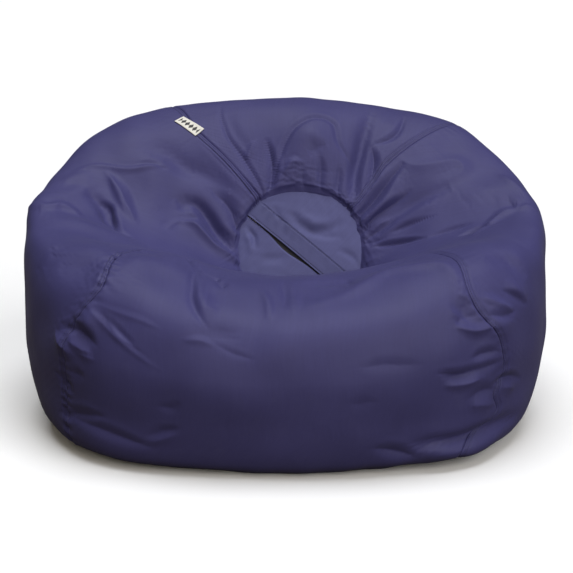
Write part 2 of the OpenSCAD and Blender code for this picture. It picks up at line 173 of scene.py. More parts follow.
def ring_points(index, azimuth):
    """Points on one ring at azimuths in radians. Ring 0 is the cap's rim."""
    cosine, sine = np.cos(azimuth), np.sin(azimuth)
    if index == 0:
        radius = rim_radius(azimuth)[..., None]
        return CAP_CENTRE + radius * (cosine[..., None] * CAP_ACROSS + sine[..., None] * CAP_UP)
    width, front_y, back_y, front_z, side_z, back_z, lift, middle_x, squareness = RINGS[index - 1]
    across, back = signed_power(cosine, squareness), signed_power(sine, squareness)
    corner = np.sin(2 * azimuth) ** 2 * (1 - LIFT_BIAS * sine)
    x = middle_x + width * across
    y = (front_y + back_y) / 2 + (back_y - front_y) / 2 * back
    bow = (back_z + front_z) / 2 - side_z
    z = side_z + (back_z - front_z) / 2 * back + bow * back * back + lift * corner
    return np.stack([x * HALF_WIDTH, y * HALF_DEPTH, z * HEIGHT], axis=-1) / 100


def bag_points(ring, azimuth):
    """Points on the smooth bag, for arrays of ring numbers and azimuths in radians."""
    ring, azimuth = np.broadcast_arrays(np.asarray(ring, float), np.asarray(azimuth, float))
    rings = np.stack([ring_points(i, azimuth) for i in range(LAST_RING + 1)])
    low = np.clip(np.floor(ring).astype(int), 0, LAST_RING - 1)

    def at(index):
        index = np.clip(index, 0, LAST_RING)[None, ..., None]
        return np.take_along_axis(rings, np.broadcast_to(index, (1,) + ring.shape + (3,)), axis=0)[0]

    b, c = at(low), at(low + 1)
    a = np.where((low == 0)[..., None], 2 * b - c, at(low - 1))
    d = np.where((low == LAST_RING - 1)[..., None], 2 * c - b, at(low + 2))
    u = (ring - low)[..., None]
    return spline(u, a, b, c, d)


def smooth_table(at, pairs):
    """A smooth curve through (position, value) pairs."""
    x, y = (np.array(column, float) for column in zip(*pairs))
    slope = np.gradient(y, x)
    i = np.clip(np.searchsorted(x, at) - 1, 0, len(x) - 2)
    step = x[i + 1] - x[i]
    return hermite((at - x[i]) / step, y[i], step * slope[i], y[i + 1], step * slope[i + 1])


def seam_azimuths(ring):
    """The azimuths in radians of the four seams and of the first again after a full turn."""
    turns = [smooth_table(ring, points) for points in SEAMS.values()]
    return np.radians(np.array(turns + [turns[0] + 360]))


def grid_rings(rows):
    """Ring numbers of the grid's rows: even along the cloth, and closer together near the cap."""
    fine = np.linspace(0, LAST_RING, 400)
    around = np.radians(np.arange(0, 360, 10))
    points = bag_points(fine[None, :], around[:, None])
    length = steps(points, 1).mean(axis=0)
    length = running(length) / length.sum()
    share = np.linspace(0, 1, rows + 1)
    return np.interp(0.62 * share + 0.38 * share**2, length, fine)


def grid_azimuths(rings, cells):
    """Azimuths in radians, one row per ring: cells to each gore, closer together near the seams."""
    share = np.arange(cells) / cells
    share = share - 0.42 * np.sin(2 * math.pi * share) / (2 * math.pi)
    rows = []
    for ring in rings:
        seams = seam_azimuths(ring)
        fine = np.linspace(seams[0], seams[-1], 1441)
        points = bag_points(np.full(fine.shape, ring), fine)
        length = running(steps(points))
        at_seam = np.interp(seams, fine, length)
        lengths = [a + (b - a) * share for a, b in zip(at_seam[:-1], at_seam[1:])]
        rows.append(np.interp(np.concatenate(lengths), length, fine))
    return np.array(rows)


def grid_normals(points):
    """Outward normals of a closed grid of points, rows by columns."""
    around = np.roll(points, -1, axis=1) - np.roll(points, 1, axis=1)
    down = np.gradient(points, axis=0)
    normal = np.cross(down, around)
    return normal / (np.linalg.norm(normal, axis=2, keepdims=True) + 1e-12)


# ---------------------------------------------------------------------------------------------------------
# Folds and creases that the filled cloth settles into
# ---------------------------------------------------------------------------------------------------------

# Broad swells and hollows: ring, azimuth in degrees, radius and height in millimetres
SWELLS = (
    # the outline: corners at both sides, a peaked back rest, and full corners by the floor
    (4.4, 180, 55, 10),
    (4.4, 0, 55, 7),
    (4.1, 158, 80, -4),
    (4.2, 28, 80, -7),
    (3.5, 122, 90, -3),
    (3.5, 58, 90, -9),
    (3.2, 90, 90, 4),
    (7.2, 214, 90, -3),
    (7.2, 326, 90, -2),
    (6, 180, 120, -4),
    (6, 0, 120, -3),
    (8.2, 235, 100, 5),
    (8.2, 305, 100, 4),
    (8, 270, 120, 6),
    (3.2, 238, 60, 10),
    # the front's lip, left of its middle, and the hollow below it
    (3.6, 262, 55, 7),
    (5.2, 264, 60, -5),
    # bulges that the crumples at the front seams stand on
    (5.64, 314, 32, 12),
    (6.0, 225, 30, 10),
    (5.5, 231.5, 22, 8),
    # the seat: the middle pillow of the back rest, and the arms
    (2.0, 85, 70, 14),
    (2.5, 12, 90, 8),
    (3.0, 150, 100, 8),
)

ROLL = 0.10  # how high the cloth stands up beside a narrow crease, as a share of its depth
LAP = 0.06  # and how much more of that is on one side than on the other
STRENGTH = 1.7  # of narrow creases and ridges
DEEPEST_SHARE = 0.085  # of a crease's length
SPREAD = 1.25  # how much wider a fold is than its stated width
KEEN = 0.22  # how rounded its line is: less is sharper

# Creases (negative height) and ridges: width and height in millimetres, then (ring, azimuth) points
FOLDS = (
    # back rest: crease beside the back left seam
    (3.5, -2.4, (3.2, 109), (2.6, 116), (2.2, 120.5), (1.6, 122.5), (1.0, 123.5), (0.4, 124)),
    (10, -2.2, (2.9, 110), (2.3, 116), (1.8, 118)),
    (4, -1.2, (2.45, 131), (1.95, 133), (1.45, 133.5), (0.95, 133)),
    # left edge of the middle pillow
    (6, -7.5, (1.9, 106), (1.4, 109), (1.0, 114), (0.5, 119)),
    # arch over the middle pillow
    (4, -3, (0.7, 116), (1.3, 106), (1.75, 97.5), (2.2, 89),
        (2.45, 81.5), (2.35, 75), (1.9, 69), (1.65, 59)),
    (20, 5.5, (0.9, 100), (1.4, 92), (1.9, 85), (1.7, 76), (1.2, 72)),
    (5, 2.5, (1.05, 103), (1.3, 96), (1.3, 88.5)),
    (9, -3, (1.5, 85), (1.75, 75)),
    (5, 2.5, (1.7, 121), (2, 111)),
    # gathers under it
    (5, -4, (1.5, 77), (1.1, 74), (0.35, 72)),
    (5, -3.5, (1.45, 63), (1.1, 59.5), (0.55, 56)),
    (5, -2.5, (1.2, 88), (0.8, 88.5), (0.3, 87)),
    # right edge of the middle pillow
    (10, -15, (3.1, 65.5), (2.4, 61), (1.95, 57), (1.55, 53), (1.15, 46), (0.9, 41)),
    (6, -7, (2.2, 54), (2, 49), (1.7, 44), (1.4, 41)),
    (4, -4, (2.3, 54), (2.55, 51), (2.85, 51), (3.35, 55)),
    # right of the cap: deep fold beside the seam
    (6, -11, (0.1, 27), (0.55, 30), (1.15, 31), (1.55, 33), (1.9, 35), (2.3, 37)),
    # tongue
    (9, 2.6, (2.35, 38.5), (2.45, 32.5), (2.75, 27.5), (3.1, 24.5),
        (3.15, 20), (2.95, 18), (2.65, 18)),
    (14, -8.5, (2.8, 13.5), (2.35, 15), (1.8, 16), (1.3, 14.5), (0.6, 13.5)),
    (11, 6, (2.85, 12), (2.25, 11), (1.75, 9.5), (1.2, 8)),
    (11, 6.5, (2.15, 33), (1.7, 27), (1.2, 23), (0.5, 20)),
    (6, -6, (0.1, 17), (0.7, 18.5), (1.3, 20), (1.75, 21.5), (2.1, 23)),
    (5, -4.5, (0.3, 10), (0.8, 10.5), (1.3, 12), (1.65, 13)),
    (5, 3, (0.9, 11.5), (1.25, 15), (1.55, 15)),
    # spindle
    (3.5, -9, (1.0, 0), (1.4, -2.5), (1.8, -5.5), (2.2, -9)),
    (4.5, -6, (0.1, 9), (0.85, 5), (1.3, 3)),
    (5, 3, (0.65, -13), (1.25, -11)),
    (3.5, -3, (1.5, 5), (1.9, 4.5), (2.4, 3)),
    # right arm
    (3.5, -4, (2.3, -9.5), (2.65, -7.5), (3.0, -6)),
    (3.5, -4, (2.8, -16), (3.1, -11.5), (3.5, -9.5)),
    (6, 4, (3.05, 341), (3.5, 354.5), (4.05, 357.5), (4.65, 358)),
    (8, 4, (3.75, 11), (4.05, 5), (4.4, 0)),
    (8, -4, (3.75, 1), (3.9, -3), (4.15, -1)),
    (14, -8, (4.4, 315), (4.6, 321), (4.9, 324), (5.25, 327)),
    (4, -3, (5.2, 317), (5.4, 321), (5.6, 325)),
    (10, 5, (5.1, 318.5), (5.3, 322), (5.55, 326)),
    # left of the cap: deep fold
    (10, -19, (2.2, 163), (1.85, 160.5), (1.58, 164.5), (1.3, 171), (1, 176.5), (0.5, 184)),
    (8, -10, (1.7, 148.5), (1.4, 150), (1.15, 153), (0.85, 158.5), (0.2, 163)),
    # ridge under it
    (6, 6, (2.2, 180.5), (2.04, 175), (1.8, 173), (1.55, 178),
        (1.3, 184), (0.8, 187), (0.3, 190)),
    # spindle
    (6, -7, (2.2, 179.5), (1.95, 173), (1.75, 167)),
    (10, -4, (2.05, 168.5), (2, 162)),
    # upper valley
    (17, -10, (2.95, 146), (2.65, 144), (2.35, 145), (1.95, 144), (1.4, 144)),
    # broad ridge beside the back left seam
    (14, 5, (2.6, 129), (2.05, 131.5), (1.55, 133), (1, 133.5)),
    # broad planes of the left arm
    (22, 6, (3, 147), (2.7, 155), (2.5, 166), (2.45, 181)),
    (14, 4, (3.9, 179.5), (3.6, 175.5), (3.35, 169.5)),
    # left arm: dimple
    (10, -15, (3.45, 173), (3.15, 178), (3.03, 182.5), (2.95, 188)),
    (5, -12, (3.2, 176), (3.05, 178), (3, 181.5), (2.95, 185.5), (2.9, 191), (2.75, 196.5)),
    # level ridge
    (4, 3, (3.75, 166.5), (3.4, 162), (2.95, 159), (2.7, 154), (2.55, 150)),
    (4, -2, (2.85, 155), (2.7, 152), (2.5, 151)),
    # slanting ridges
    (7, 5.5, (3.25, 163.5), (2.95, 169), (2.8, 175.5), (2.65, 182)),
    (4, 3, (3.15, 165), (2.95, 171.5), (2.8, 179)),
    # corner ridge
    (6, 5, (4.9, 179.5), (4.1, 183), (3.8, 182), (3.6, 183), (3.45, 185)),
    (10, 5, (3.95, 173.5), (3.7, 169.5), (3.4, 168)),
    # left end of the front
    (20, 5, (4, 254), (3.75, 247), (3.75, 240), (4.25, 237), (4.85, 234)),
    # broad plane of the right arm
    (24, 5, (2.95, 4), (3.45, 6), (3.8, 2)),
    # fold from the corner
    (26, 12, (4.65, 183), (3.8, 190), (3.35, 194), (2.95, 202), (2.6, 204)),
    (30, -12, (4.7, 209.5), (4.6, 223), (4.45, 232)),
    # the front left seam goes on as a crease over the front's shoulder
    (3.5, -6, (3.6, 253), (3.3, 247), (3, 240.5), (3.05, 234.5), (3.5, 231.5)),
    # front left seam: crumples
    (5, 5, (5.9, 220.5), (6, 223.5), (6.1, 227)),
    (7, -11, (5.8, 222.5), (5.7, 227.5), (5.75, 231.5), (5.8, 234)),
    (5, 5, (5.9, 226.5), (5.95, 230), (5.95, 233)),
    (5, 4, (6.05, 229.5), (6.05, 234)),
    # ridges that fan out of it
    (3.5, 1.3, (5.25, 229), (5.4, 233.5), (5.55, 238), (5.7, 243), (5.9, 249.5)),
    (3.5, -1.2, (5.3, 234), (5.5, 240), (5.7, 245)),
    (3.5, 0.9, (5.2, 232), (5.2, 239), (5.2, 244), (5.25, 248)),
    (3.5, 1.2, (5.35, 236), (5.55, 239.5), (5.65, 244.5)),
    (6, -4, (6.6, 220), (6.7, 224), (6.8, 226)),
    (6, -3, (6.45, 226), (6.4, 231)),
    # low creases
    (6, -3, (7.35, 225), (7.35, 234), (7.45, 242), (7.55, 248.5)),
    (6, -4, (7.4, 219), (7.2, 228), (7.05, 236)),
    (5, -2, (7.3, 248), (7.15, 250.5), (7, 253.5)),
    (5, 2, (7.45, 248.5), (7.3, 251), (7.15, 253.5)),
    (5, -1.5, (6.6, 250), (6.6, 252.5), (6.45, 254)),
    # lip: left pocket
    (4.5, -4, (3.4, 250), (4.05, 253.5), (4.45, 254), (4.75, 255), (5.0, 257)),
    (12, 8, (3.8, 255), (4.3, 256), (4.6, 257), (4.65, 259)),
    (14, -4, (5.05, 254.5), (5.1, 259), (5.05, 264)),
    (3.5, -1, (5.3, 259), (5.45, 262.5), (5.55, 266)),
    (4, -4, (3.55, 253.5), (3.7, 256.5), (3.65, 258)),
    (4, -4, (3.55, 256), (3.95, 259.5), (3.7, 259)),
    (4, 1.5, (5.35, 253.5), (5.3, 256.5), (5.35, 259)),
    # lip: wrinkles below the cap
    (4, -2.2, (3.5, 269.5), (4, 270), (4.45, 270)),
    (5, 1.8, (3.5, 270.5), (4.2, 271), (4.7, 271)),
    (5, 3, (3.95, 267), (4.35, 268), (4.75, 268)),
    (5, -3, (3.4, 281.5), (3.85, 281)),
    (12, -4, (3.65, 272), (3.6, 276.5), (3.55, 282)),
    # level top behind the crest
    (22, -6, (3.85, 275), (3.45, 283), (3.2, 292), (3.3, 300), (3.9, 304)),
    # crest of the front
    (13, 7, (4.45, 272), (4.25, 277), (4.05, 282), (3.7, 289), (3.8, 296),
        (4.05, 302), (4.5, 304.5), (4.95, 305.5), (5.2, 304)),
    # front right seam: crumples
    (6, 6, (5.15, 310), (5.35, 314), (5.6, 319.5)),
    (5, -7, (5.45, 310.5), (5.55, 315), (5.6, 320)),
    (6, -6, (5.4, 302), (5.35, 304), (5.4, 308)),
    (5, 5, (5.45, 302), (5.6, 306.5), (5.65, 312)),
    (16, -8, (5.05, 306), (5.2, 304.5), (5.3, 303)),
    (5, -6, (6, 305), (6, 308.5), (6.05, 313)),
    (5, -5, (6.25, 305.5), (6.25, 308.5), (6.25, 313)),
    (6, -5, (6.1, 296.5), (6.25, 301.5), (6.2, 307)),
    (6, 5, (6.35, 298), (6.4, 303), (6.4, 307.5)),
    (7, -7, (6.7, 304), (6.65, 308), (6.7, 312)),
    (8, 6, (6.85, 305), (6.9, 308), (7, 312)),
    (5, -8, (6.6, 312), (6.6, 315), (6.65, 319), (6.8, 323.5)),
    (6, 4, (6.75, 315.5), (6.9, 321)),
    (6, -1.2, (5.75, 281), (5.75, 285), (5.85, 292)),
    (6, -0.8, (6.45, 278.5), (6.4, 283)),
    # bottom right roll
    (10, -13, (7.5, 289.5), (7.5, 294.5), (7.55, 301.5), (7.5, 308.5), (7.5, 317), (7.65, 328)),
    (12, 8, (7.75, 291), (7.85, 299), (7.95, 309), (7.85, 319.5)),
    (7, -6, (7.5, 282), (7.65, 286), (7.85, 290)),
)


CURVE_STEPS = 10  # from each of a fold's points to the next
FOLD_REACH = 7  # widths around a fold that it can move


def curve_through(points):
    """A smooth (ring, azimuth in radians) path through a few points."""
    points = np.array(points, float)
    points = np.vstack([2 * points[0] - points[1], points, 2 * points[-1] - points[-2]])
    path = []
    for a, b, c, d in zip(points, points[1:], points[2:], points[3:]):
        u = np.linspace(0, 1, CURVE_STEPS, endpoint=False)[:, None]
        path.append(spline(u, a, b, c, d))
    path = np.vstack(path + [points[-2:-1]])
    return np.clip(path[:, 0], 0, LAST_RING), np.radians(path[:, 1])


def swell_heights(base):
    """How far each grid point stands out of the smooth bag because of the broad swells."""
    height = np.zeros(base.shape[:2])
    for ring, azimuth, radius, rise in SWELLS:
        centre = bag_points(np.array([float(ring)]), np.radians([azimuth]))[0]
        height += rise / 1000 * hump(np.linalg.norm(base - centre, axis=2), radius / 1000)
    return height


def fold_heights(base, normals, folds):
    """How far each grid point stands out of the smooth bag because of some folds."""
    flat, out = base.reshape(-1, 3), normals.reshape(-1, 3)
    height = np.zeros(len(flat))
    for width, rise, *points in folds:
        wide = width > WIDE_FOLD
        width, rise = width / 1000, rise / 1000
        path = bag_points(*curve_through(points))
        along = np.linspace(0, 1, len(path))
        low, high = path.min(axis=0) - FOLD_REACH * width, path.max(axis=0) + FOLD_REACH * width
        near = np.flatnonzero(np.all((flat > low) & (flat < high), axis=1))
        offset = flat[near, None] - path[None]
        distance = np.linalg.norm(offset, axis=2)
        nearest = distance.argmin(axis=1)
        which = np.arange(len(near))
        distance = distance[which, nearest] / width
        forward = np.gradient(path, axis=0)
        sideways = np.cross(out[near], forward[nearest])
        side = np.sign((sideways * offset[which, nearest]).sum(axis=1))
        taper = np.sin(math.pi * np.clip(along[nearest] * 0.94 + 0.03, 0, 1))
        if wide:
            height[near] += rise * taper * hump(distance, 1.3)
            continue
        # a short crease can't be deep
        length = steps(path).sum()
        rise = math.copysign(min(STRENGTH * abs(rise), DEEPEST_SHARE * length), rise)
        distance = distance / (SPREAD * (0.55 + 0.45 * taper))
        # a sharp line with flat planes falling to it from both sides
        sharp = np.exp(KEEN - np.sqrt(distance**2 + KEEN**2))
        soft = hump(distance, 1.5)
        # cloth that a crease pushes aside stands up a little beyond it, more on one side than on the other
        beyond = np.exp(-((distance - 2.4) ** 2) / 1.2) * (ROLL + LAP * side)
        height[near] += rise * taper**0.8 * (0.75 * sharp + 0.25 * soft - beyond)
    return height.reshape(base.shape[:2])


# ---------------------------------------------------------------------------------------------------------
# The cover's shape, settled by a cloth simulation
# ---------------------------------------------------------------------------------------------------------

GORE_CELLS = 64
GRID_ROWS = 120
FINE_ACROSS = 3  # the settled shape is refined this many times, across and down
FINE_DOWN = 4
WIDE_FOLD = 9.5  # mm: wider folds are there before the cloth settles, and narrower ones are creased in after


def grid_faces(rows, columns, closed):
    """Quads of a grid with rows by columns points. A closed one joins its last column to its first."""
    cells = columns if closed else columns - 1
    r, c = np.meshgrid(np.arange(rows - 1), np.arange(cells), indexing="ij")
    a = r * columns + c
    b = r * columns + (c + 1) % columns
    return np.stack([a, a + columns, b + columns, b], axis=-1).reshape(-1, 4)


def new_mesh(name, points, faces):
    """An object from points and faces, where the faces are one array of quads or a list of any polygons."""
    mesh = bpy.data.meshes.new(name)
    if isinstance(faces, np.ndarray):
        mesh.vertices.add(len(points))
        mesh.vertices.foreach_set("co", np.asarray(points, np.float32).ravel())
        mesh.loops.add(faces.size)
        mesh.loops.foreach_set("vertex_index", faces.astype(np.int32).ravel())
        mesh.polygons.add(len(faces))
        mesh.polygons.foreach_set("loop_start", np.arange(len(faces), dtype=np.int32) * faces.shape[1])
        mesh.polygons.foreach_set("use_smooth", np.ones(len(faces), dtype=bool))
    else:
        mesh.from_pydata([tuple(p) for p in points], [], [tuple(face) for face in faces])
    mesh.update(calc_edges=True)
    mesh.validate()
    piece = bpy.data.objects.new(name, mesh)
    bpy.context.scene.collection.objects.link(piece)
    return piece


def closed_grid(name, grid, closed_top):
    """A piece from rings of points, closed by a face at its end and, if asked, at its start."""
    rows, columns = grid.shape[:2]
    faces = [tuple(int(i) for i in face) for face in grid_faces(rows, columns, True)]
    if closed_top:
        faces.append(tuple(range(columns)))
    faces.append(tuple(reversed(range((rows - 1) * columns, rows * columns))))
    return new_mesh(name, grid.reshape(-1, 3), faces)


def smooth_shading(piece):
    for polygon in piece.data.polygons:
        polygon.use_smooth = True


def set_group(piece, name, weights):
    group = piece.vertex_groups.new(name=name)
    for level in np.unique(weights):
        group.add([int(i) for i in np.flatnonzero(weights == level)], float(level), "REPLACE")


CLOTH_SETTINGS = {
    "quality": 5,
    "mass": 0.2,
    "tension_stiffness": 25,
    "compression_stiffness": 25,
    "shear_stiffness": 4,
    "bending_stiffness": 0.35,
    "bending_damping": 0.4,
    "air_damping": 1,
    "vertex_group_mass": "hold",
    "pin_stiffness": 1.0,
    "vertex_group_shrink": "slack",
    "shrink_min": 0,
    "shrink_max": -0.10,
    "use_pressure": True,
    "uniform_pressure_force": 0.6,
}
SETTLING_FRAMES = 22
FURTHEST_MOVE = 0.016


def settle(base, slack, hold):
    """Lets cloth that is cut a little large settle over the filled shape. Returns the settled points."""
    rows, columns = base.shape[:2]
    piece = new_mesh("cloth_settling", base.reshape(-1, 3), grid_faces(rows, columns, True))
    set_group(piece, "hold", np.round(hold.ravel(), 2))
    set_group(piece, "slack", np.round(slack.ravel(), 2))
    cloth = piece.modifiers.new("Cloth", "CLOTH")
    for key, value in CLOTH_SETTINGS.items():
        setattr(cloth.settings, key, value)
    cloth.settings.effector_weights.gravity = 0.35
    cloth.collision_settings.use_collision = False
    cloth.point_cache.frame_end = SETTLING_FRAMES
    scene = bpy.context.scene
    for number in range(1, SETTLING_FRAMES + 1):
        scene.frame_set(number)
    settled = piece.evaluated_get(bpy.context.evaluated_depsgraph_get())
    points = np.empty(len(settled.data.vertices) * 3)
    settled.data.vertices.foreach_get("co", points)
    scene.frame_set(1)
    bpy.data.objects.remove(piece)
    points = points.reshape(base.shape)
    # no point may wander far: the beads behind the cloth would stop it
    move = points - base
    length = np.linalg.norm(move, axis=2, keepdims=True)
    return base + move * np.minimum(1, FURTHEST_MOVE / np.maximum(length, 1e-9))


def refine(values, times, axis, closed):
    """Values on a grid, made finer along an axis by a smooth curve through them."""
    values = np.moveaxis(values, axis, 0)
    count = len(values)
    total = count * times if closed else (count - 1) * times + 1
    at = np.arange(total) / times
    low = np.floor(at).astype(int)
    if not closed:
        low = np.minimum(low, count - 2)
    u = (at - low).reshape((-1,) + (1,) * (values.ndim - 1))

    def pick(i):
        return values[i % count] if closed else values[np.clip(i, 0, count - 1)]

    fine = spline(u, *(pick(low + k) for k in (-1, 0, 1, 2)))
    return np.moveaxis(fine, 0, axis)


def wave_noise(seed, count, points, low, high):
    """Smooth noise between about -1 and 1: a sum of waves in space between two wavelengths, in metres."""
    random = np.random.default_rng(seed)
    total = np.zeros(points.shape[:-1])
    for _ in range(count):
        direction = random.normal(size=3)
        direction /= np.linalg.norm(direction)
        length = low * (high / low) ** random.random()
        total += np.sin(points @ direction * 2 * math.pi / length + random.random() * 2 * math.pi)
    return total / math.sqrt(count / 2)


def build_cover():
    """The settled cover's points, the plain form under them, and the ring of each row of points."""
    rings = grid_rings(GRID_ROWS)
    azimuths = grid_azimuths(rings, GORE_CELLS)
    base = bag_points(rings[:, None] + np.zeros_like(azimuths), azimuths)
    normals = grid_normals(base)
    wide = [fold for fold in FOLDS if fold[0] > WIDE_FOLD]
    narrow = [fold for fold in FOLDS if fold[0] <= WIDE_FOLD]
    start = base + normals * (swell_heights(base) + fold_heights(base, normals, wide))[..., None]
    across = np.arange(base.shape[1]) % GORE_CELLS
    from_seam = np.minimum(across, GORE_CELLS - across)[None, :] + np.zeros_like(azimuths)
    near_cap = np.exp(-rings / 1.2)[:, None] + np.zeros_like(azimuths)
    near_seam = hump(from_seam, 7.0)
    slack = np.clip(0.12 + 0.7 * near_cap + 0.25 * near_seam, 0, 1)
    hold = np.full(azimuths.shape, 0.3)
    hold[from_seam == 0] = 0.9
    hold[:2] = 1
    hold[-3:] = 1
    start = start + normals * (0.0010 * wave_noise(3, 28, base, 0.07, 0.20))[..., None]
    start = settle(start, slack, hold)
    points = finer(start)
    smooth = finer(base)
    rings = refine(rings[:, None], FINE_DOWN, 0, False)[:, 0]
    crease = fold_heights(smooth, grid_normals(smooth), narrow)
    return points + grid_normals(points) * crease[..., None], smooth, rings


def finer(grid):
    return refine(refine(grid, FINE_DOWN, 0, False), FINE_ACROSS, 1, True)


# How much each seam puckers, and the distances of its rows of topstitching, positive towards the next gore
SEAM_PUCKERS = (0.2, 0.15, 1.5, 0.45)
STITCH_ROWS = ((0.0045, 0.0105), (0.0045, 0.0105), (-0.0045, -0.0105), (0.0055, 0.0115))
SEAM_DEPTH = 0.0030
SEAM_WIDTH = 0.0024
STITCH_DEPTH = 0.0018
STITCH_WIDTH = 0.0017
PUCKER_RISE = 0.0007
GATHER_RISE = 0.0009
ROLL_RISE = 0.0006
RIM_TUCK = 0.0022  # how far the gores' ends turn in at the cap's rim
SEAM_TUCK = 0.006  # how far their sides turn in at the seams
SEAM_GAP = 0.08  # how far the sides stay off the seam's middle, as a share of a cell


def add_details(points):
    """Seam grooves with their puckers, and the gathers around the cap."""
    rows, columns = points.shape[:2]
    cells = columns // len(GORES)
    normals = grid_normals(points)
    height = np.zeros((rows, columns))
    down = running(steps(points).mean(axis=1))
    for k in range(len(GORES)):
        column = k * cells
        seam = points[:, column]
        along = running(steps(seam))
        drawn = SEAM_PUCKERS[k] * (0.35 + 0.65 * np.sin(along / 0.11 + 2 * k) ** 2)
        for offset in range(-cells // 3, cells // 3):
            line = (column + offset) % columns
            distance = np.linalg.norm(points[:, line] - seam, axis=1)
            side = 1 if offset >= 0 else -1
            height[:, line] -= SEAM_DEPTH * hump(distance, SEAM_WIDTH)
            for row in STITCH_ROWS[k]:
                if side * row > 0:
                    height[:, line] -= STITCH_DEPTH * hump(distance - abs(row), STITCH_WIDTH)
            bend = 2.4 * np.sin(along / 0.052 + 3 * k) + 1.7 * np.sin(along / 0.023 + side) + side
            wave = np.sin(along / 0.0031 + bend) + 0.8 * np.sin(along / 0.0052 - bend + distance * 60)
            height[:, line] += drawn * PUCKER_RISE * wave * hump(distance - 0.003, 0.013)
    around = np.arange(columns) / columns * 2 * math.pi
    gathers = (
        np.sin(23 * around + 1.3 * np.sin(5 * around))
        + 0.8 * np.sin(37 * around + 1.1 * np.sin(7 * around + 1))
        + 0.5 * np.sin(58 * around + 2)
    )
    fade = np.exp(-((down / 0.035) ** 1.3))
    gathers = gathers[None, :] * (0.55 + 0.45 * np.sin(3 * around + 1)[None, :])
    height += GATHER_RISE * fade[:, None] * gathers
    # the cover rolls over the rim of the cap
    height += (ROLL_RISE * hump(down - 0.008, 0.007))[:, None]
    return points + normals * height[..., None]


def turned_edges(sheet, normals):
    """A gore's points with its sides and its end by the cap turned in, clear of their neighbours."""
    tucked = sheet[0] - CAP_OUT * RIM_TUCK
    tucked -= (tucked - CAP_CENTRE) * 0.02
    sheet = np.concatenate([tucked[None], sheet])
    normals = np.concatenate([normals[:1], normals])
    start = sheet[:, :1] * (1 - SEAM_GAP) + sheet[:, 1:2] * SEAM_GAP
    end = sheet[:, -1:] * (1 - SEAM_GAP) + sheet[:, -2:-1] * SEAM_GAP
    inner_start = start - normals[:, :1] * SEAM_TUCK
    inner_end = end - normals[:, -1:] * SEAM_TUCK
    return np.concatenate([inner_start, start, sheet[:, 1:-1], end, inner_end], axis=1)


def cloth_piece(name, sheet, coordinates):
    """A sheet of cloth from a grid of points, with cloth coordinates in metres."""
    rows, columns = sheet.shape[:2]
    piece = new_mesh(name, sheet.reshape(-1, 3), grid_faces(rows, columns, False))
    set_coordinates(piece, coordinates.reshape(-1, 2))
    return piece


def set_coordinates(piece, coordinates):
    """Gives a piece its cloth coordinates in metres, one pair for each point."""
    layer = piece.data.uv_layers.new(name="cloth")
    loops = np.empty(len(piece.data.loops), dtype=np.int32)
    piece.data.loops.foreach_get("vertex_index", loops)
    layer.data.foreach_set("uv", np.asarray(coordinates, np.float32)[loops].ravel())


def cloth_coordinates(sheet):
    """Distance across and down the cloth for each grid point."""
    across = running(steps(sheet, 1), 1)
    across -= across[:, -1:] / 2
    down = running(steps(sheet))
    down = down.mean(axis=1, keepdims=True) + np.zeros_like(down)
    return np.stack([across, down], axis=-1)


# ---------------------------------------------------------------------------------------------------------
# Materials
# ---------------------------------------------------------------------------------------------------------


def shade(colour, factor):
    """A darker or lighter colour."""
    return tuple(part * factor for part in colour[:3]) + (1,)


class Nodes:
    """A short way to write a material's nodes."""

    def __init__(self, name):
        self.material = bpy.data.materials.new(name)
        self.material.use_nodes = True
        self.tree = self.material.node_tree
        self.shader = self.tree.nodes["Principled BSDF"]

    def add(self, kind, inputs=None, **settings):
        node = self.tree.nodes.new(kind)
        for key, value in settings.items():
            setattr(node, key, value)
        for key, value in (inputs or {}).items():
            if isinstance(value, bpy.types.NodeSocket):
                self.tree.links.new(value, node.inputs[key])
            else:
                node.inputs[key].default_value = value
        return node

    def link(self, output, name):
        self.tree.links.new(output, self.shader.inputs[name])

    def math(self, operation, a, b=0.5):
        return self.add("ShaderNodeMath", {0: a, 1: b}, operation=operation).outputs[0]

    def noise(self, vector, scale, detail=3.0, roughness=0.55):
        inputs = {"Vector": vector, "Scale": scale, "Detail": detail, "Roughness": roughness}
        return self.add("ShaderNodeTexNoise", inputs).outputs["Fac"]

    def mix(self, factor, a, b):
        node = self.add("ShaderNodeMix", data_type="RGBA")
        for name, value in (("Factor", factor), ("A", a), ("B", b)):
            for target in [s for s in node.inputs if s.name == name and s.enabled]:
                if isinstance(value, bpy.types.NodeSocket):
                    self.tree.links.new(value, target)
                else:
                    target.default_value = value
        return next(s for s in node.outputs if s.name == "Result" and s.enabled)

    def part(self, factor, share, a, b):
        """Mixes in b by a factor and a share of it."""
        return self.mix(self.math("MULTIPLY", factor, share), a, b)

    def streaks(self, vector, across, down, detail=3.0):
        """Noise drawn out along the cloth."""
        place = self.add("ShaderNodeMapping", {"Vector": vector, "Scale": (across, down, 1.0)})
        return self.noise(place.outputs[0], 1.0, detail)

    def bump(self, height, strength, distance, **below):
        inputs = {"Height": height, "Strength": strength, "Distance": distance, **below}
        return self.add("ShaderNodeBump", inputs).outputs["Normal"]

    def place(self):
        return self.add("ShaderNodeTexCoord").outputs["Object"]

    def cloth(self):
        """Cloth coordinates, and their parts across and down."""
        uv = self.add("ShaderNodeUVMap", uv_map="cloth").outputs["UV"]
        split = self.add("ShaderNodeSeparateXYZ", {"Vector": uv})
        return uv, split.outputs["X"], split.outputs["Y"]

    def spread(self, value, low, high, to_low=0.0, to_high=1.0):
        inputs = {"Value": value, "From Min": low, "From Max": high, "To Min": to_low, "To Max": to_high}
        return self.add("ShaderNodeMapRange", inputs).outputs["Result"]


THREAD = 0.0011  # two threads of the weave


